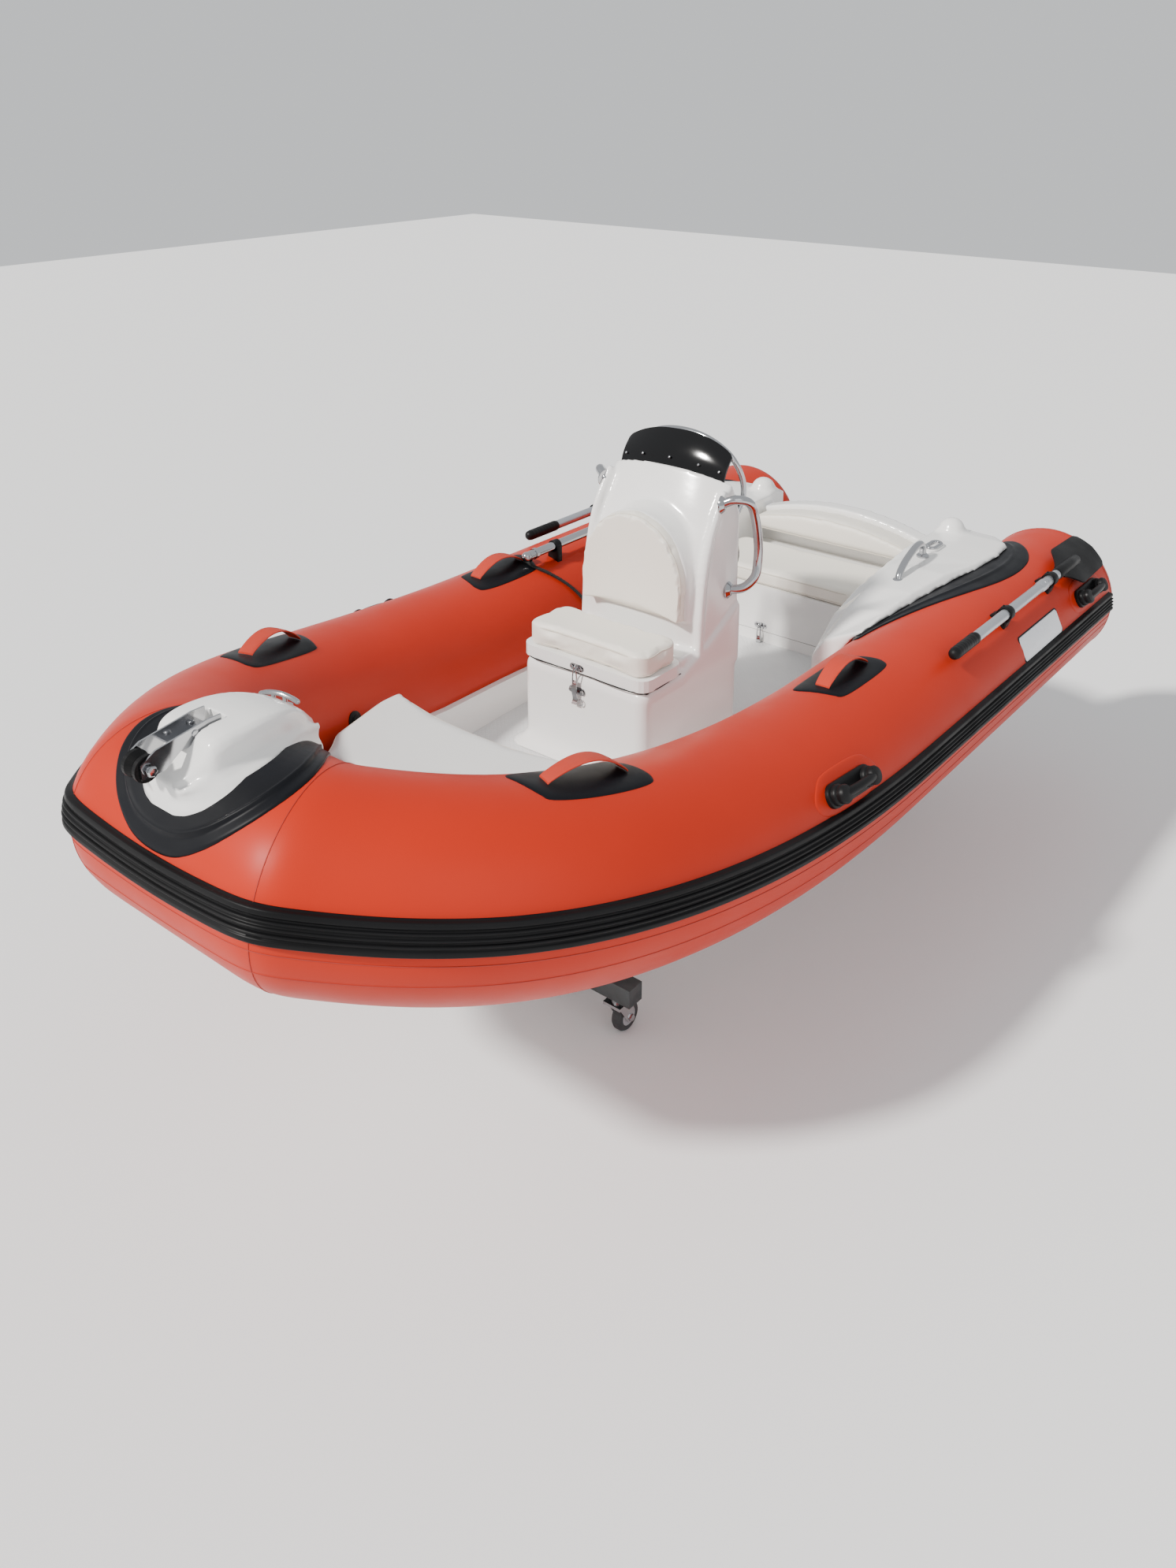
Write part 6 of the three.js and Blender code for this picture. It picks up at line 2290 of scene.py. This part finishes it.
# ------------------------------------------------------------------ oars and pole
@dataclass
class Oars:
    """An oar clipped to each side tube, and the pole stowed to starboard."""

    tube: BuoyancyTube
    angle: float = 54.0
    proud: float = 0.034
    shaft: float = 0.0145
    ends: tuple[float, float] = (0.620, 1.640)
    clips: tuple[float, float] = (0.960, 1.290)
    collar: float = 1.222
    blade_root: float = 1.372
    pole_x: float = -0.520
    pole_z: float = 0.242
    pole_r: float = 0.014

    def build(self) -> None:
        """Make both oars and the pole."""
        line = self.tube.line

        def spot(y: float, proud: float = self.proud, turn: float = 0.0) -> Vector:
            """A point on or near the oar's axis."""
            return line.skin(y, self.angle + turn, proud)

        shaft = swept([spot(self.ends[0] + 0.110), spot(self.ends[1] - 0.20)], self.shaft, 28)
        grip_path = evenly([spot(self.ends[0]), spot(self.ends[0] + 0.122)], 36)
        grip = swept(grip_path, 0.0168, 28,
                     relief=lambda run, _: -0.0006 * (1 if (run * 1000) % 9 < 1.6 else 0))
        collar = joined([swept([spot(self.collar - 0.016), spot(self.collar + 0.016)], 0.0166, 24),
                         turned([(0, 0), (0.004, 0), (0.003, 0.003), (0, 0.004)],
                                spot(self.collar, self.proud + 0.015),
                                (spot(0, 1) - spot(0, 0)).normalized(), 14)])
        black = [grip, *(self._clip(y) for y in self.clips), self._blade()]
        for (side, bar), (_, band), (_, dark) in zip(by_side(shaft), by_side(collar), by_side(joined(black))):
            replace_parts(make(f"oar_shaft_{side}", bar, ALLOY), f"oar_{side}")
            make(f"oar_collar_{side}", band, ALLOY)
            make(f"oar_black_parts_{side}", dark, PLASTIC)
        self._pole()

    def _clip(self, y: float) -> Mesh:
        """A saddle on the tube with a ring round the shaft and a thumb lug.

        Args:
            y: its station.

        Returns:
            The points and faces.
        """
        line = self.tube.line
        half = math.degrees(0.021 / line.radius)
        rings = []
        for shift, share, top in ((-0.016, 0.86, 0.016), (-0.013, 1.0, 0.020),
                                  (0.013, 1.0, 0.020), (0.016, 0.86, 0.016)):
            ring = [line.skin(y + shift, self.angle + half * share * k, -0.002) for k in (-1.3, 1.3)]
            ring += [line.skin(y + shift, self.angle + half * share * k, h)
                     for k, h in ((1.25, 0.004), (0.9, top), (-0.9, top), (-1.25, 0.004))]
            rings.append(ring)
        saddle = lofted(rings)
        centre = line.skin(y, self.angle, self.proud)
        along = line.frame(y)[1]
        ring = turned([(0.0148, -0.013), (0.0195, -0.013), (0.0205, -0.010), (0.0205, 0.010), (0.0195, 0.013),
                       (0.0148, 0.013)], centre, along, 32)
        lugs = []
        out = (line.skin(y, self.angle, 0.1) - centre).normalized()
        cross = along.cross(out).normalized()
        for k in (-1, 1):
            lug = centre + cross * (k * 0.0215)
            lugs.append(slab(oblong(0.026, 0.013, 5), lug - cross * (k * 0.004) - out * 0.001, out,
                             along, 0.0045, 0.001))
        return joined([saddle, ring, *lugs])

    def _blade(self) -> Mesh:
        """A flat blade that follows the tube, ribbed down the middle, with a socket at its root.

        Returns:
            The points and faces.
        """
        line = self.tube.line
        length = self.ends[1] - self.blade_root
        rings = []
        count = 22
        for i in range(count + 1):
            k = i / count
            y = self.blade_root + length * k
            wide = 0.020 + 0.052 * min(1.0, (k / 0.30)) ** 1.3
            wide *= 1 - 0.10 * k - (0.16 * max(0.0, (k - 0.93) / 0.07) ** 2)
            ring = []
            outline = []
            for j in range(13):
                a = -1 + j / 6
                rib = 0.0045 * math.exp(-(a / 0.20) ** 2) * (1 - k * 0.7)
                outline.append((a, 0.0028 + rib))
            for a, t in outline:
                spread = math.degrees(a * wide / (line.radius + self.proud))
                ring.append(line.skin(y, self.angle + spread, self.proud + t - 0.004 * a * a))
            for a, _ in reversed(outline):
                spread = math.degrees(a * wide / (line.radius + self.proud))
                ring.append(line.skin(y, self.angle + spread, self.proud - 0.0028 - 0.004 * a * a))
            rings.append(ring)
        socket = swept([line.skin(1.345, self.angle, self.proud), line.skin(1.44, self.angle, self.proud),
                        line.skin(1.50, self.angle, self.proud - 0.004)], 0.0175, 24)
        return joined([lofted(rings), socket])

    def _pole(self) -> None:
        """The steel pole with its ball end and rubber saddles."""
        y0 = 0.375
        y1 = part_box("stowed_pole")[1].y - LIFT.y - self.pole_r
        pole = swept([Vector((self.pole_x, y0 + 0.010, self.pole_z)), Vector((self.pole_x, y1, self.pole_z))],
                     self.pole_r - 0.0006, 28)
        ball = turned([(0.015 * math.sin(math.radians(15 * i)), -0.015 * math.cos(math.radians(15 * i)))
                       for i in range(13)], (self.pole_x, y0, self.pole_z), Vector((0, 1, 0)), 24)
        neck = turned([(0.0, 0), (0.0165, 0), (0.0165, 0.012), (0.0, 0.012)],
                      (self.pole_x, y0 + 0.030, self.pole_z), Vector((0, 1, 0)), 24)
        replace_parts(make("steel_pole", joined([pole, ball, neck]), STAINLESS), "stowed_pole")
        saddles = []
        for y in (y0 + 0.130, y0 + 0.420):
            if y > y1:
                continue
            saddles.append(rounded_box((self.pole_x - 0.021, y - 0.011, 0.186),
                                       (self.pole_x + 0.021, y + 0.011, self.pole_z + 0.004), 0.004))
            saddles.append(turned([(0.0142, -0.011), (0.0180, -0.011), (0.0180, 0.011), (0.0142, 0.011)],
                                  (self.pole_x, y, self.pole_z), Vector((0, 1, 0)), 28))
        make("pole_saddles", joined(saddles), PLASTIC)


# ------------------------------------------------------------------ hull and cradle
@dataclass
class HullAndCradle:
    """The hull with its liner, locker and engine pad, and the cradle under it."""

    frame: dict

    def build(self) -> None:
        """Dress the frame's own nodes, then add the small fittings."""
        nodes = self.frame["nodes"]
        for node in ("hull", "bow_locker", "bow_locker_lid"):
            GELCOAT.dress(nodes[node])
        NON_SLIP.dress(nodes["cockpit_sole"])
        BOARD.dress(nodes["transom_board"])
        for node in ("cradle_cross_fore", "cradle_cross_aft", "cradle_spine"):
            CRADLE.dress(nodes[node])
        for end in ("fore", "aft"):
            for side in ("port", "starboard"):
                STAINLESS.dress(nodes[f"castor_fork_{end}_{side}"])
                CASTOR.dress(nodes[f"castor_wheel_{end}_{side}"])
                self._castor_detail(end, side)
        self._transom_fittings()

    def _castor_detail(self, end: str, side: str) -> None:
        """Hub caps on the wheel and nuts on the axle.

        Args:
            end: fore or aft.
            side: port or starboard.
        """
        low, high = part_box(f"castor_wheel_{end}_{side}")
        centre = (low + high) / 2 - LIFT
        hubs = []
        nuts = []
        for way in (-1, 1):
            face = centre + Vector((way * 0.0131, 0, 0))
            hubs.append(turned([(0.0066, 0), (0.024, 0), (0.0225, 0.0012), (0.0145, 0.0008), (0.0130, 0.0020),
                                (0.0066, 0.0020)], face, Vector((way, 0, 0)), 32))
            nuts.append(turned([(0.0, 0), (0.0095, 0), (0.0085, 0.005), (0.0, 0.0055)],
                               centre + Vector((way * 0.0201, 0, 0)), Vector((way, 0, 0)), 6))
        make(f"castor_hub_{end}_{side}", joined(hubs), ALLOY, f"wheel_{end}_{side}")
        make(f"castor_nut_{end}_{side}", joined(nuts), STAINLESS, f"fork_{end}_{side}")

    def _transom_fittings(self) -> None:
        """Drain plug and bolts on the transom."""
        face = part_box("transom_board")[1].y - LIFT.y
        meshes = []
        for x in (-0.17, 0.17):
            for z in (-0.10, -0.22):
                meshes.append(turned([(0.0, 0), (0.011, 0), (0.010, 0.004), (0.007, 0.006), (0.0, 0.0065)],
                                     (x, face + 0.0002, z), Vector((0, 1, 0)), 20))
        meshes.append(turned([(0.0, 0), (0.022, 0), (0.021, 0.003), (0.013, 0.004), (0.012, 0.010),
                              (0.0, 0.011)],
                             (0.0, face + 0.0002, -0.27), Vector((0, 1, 0)), 28))
        make("transom_bolts", joined(meshes), STAINLESS)


# ------------------------------------------------------------------ everything
CUSHIONS = (
    Cushion("bow_cushion", "bow_lid", COOL_VINYL, seams=(("z", -0.007), ("z", 0.009)), cap=0.007,
            voxel=0.0078),
    Cushion("seat_cushion", "seat", VINYL, seams=(("z", -0.009), ("z", 0.010)), cap=0.010),
    Cushion("backrest_cushion", BOAT, VINYL, seams=(("y", 0.010),), cap=0.008),
    Cushion("bench_cushion", "bench", VINYL, seams=(("z", -0.008), ("z", 0.010)), cap=0.009, voxel=0.0078),
    Cushion("bench_back_cushion", BOAT, VINYL, seams=(("y", 0.010),), cap=0.009, voxel=0.007),
)


def main() -> None:
    """Build the dinghy sub-assembly by sub-assembly."""
    logging.basicConfig(level=logging.INFO, format="%(name)s: %(message)s")
    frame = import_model()
    tube = BuoyancyTube()
    steps: list[tuple[str, Callable[[], None]]] = [
        ("studio", Studio().build),
        ("painter", Painter().build),
        ("buoyancy tube", tube.build),
        ("tube handles", TubeHandles(tube).build),
        ("bow fairing", BowFairing(tube, frame).build),
        ("console", Console(frame).build),
        ("stern", Stern(tube, frame).build),
        ("oars", Oars(tube).build),
        ("hull and cradle", HullAndCradle(frame).build),
    ]
    steps += [(cushion.node, partial(cushion.build, frame)) for cushion in CUSHIONS]
    for name, build in steps:
        build()
        log.info("%s built", name)


if __name__ == "__main__":
    main()
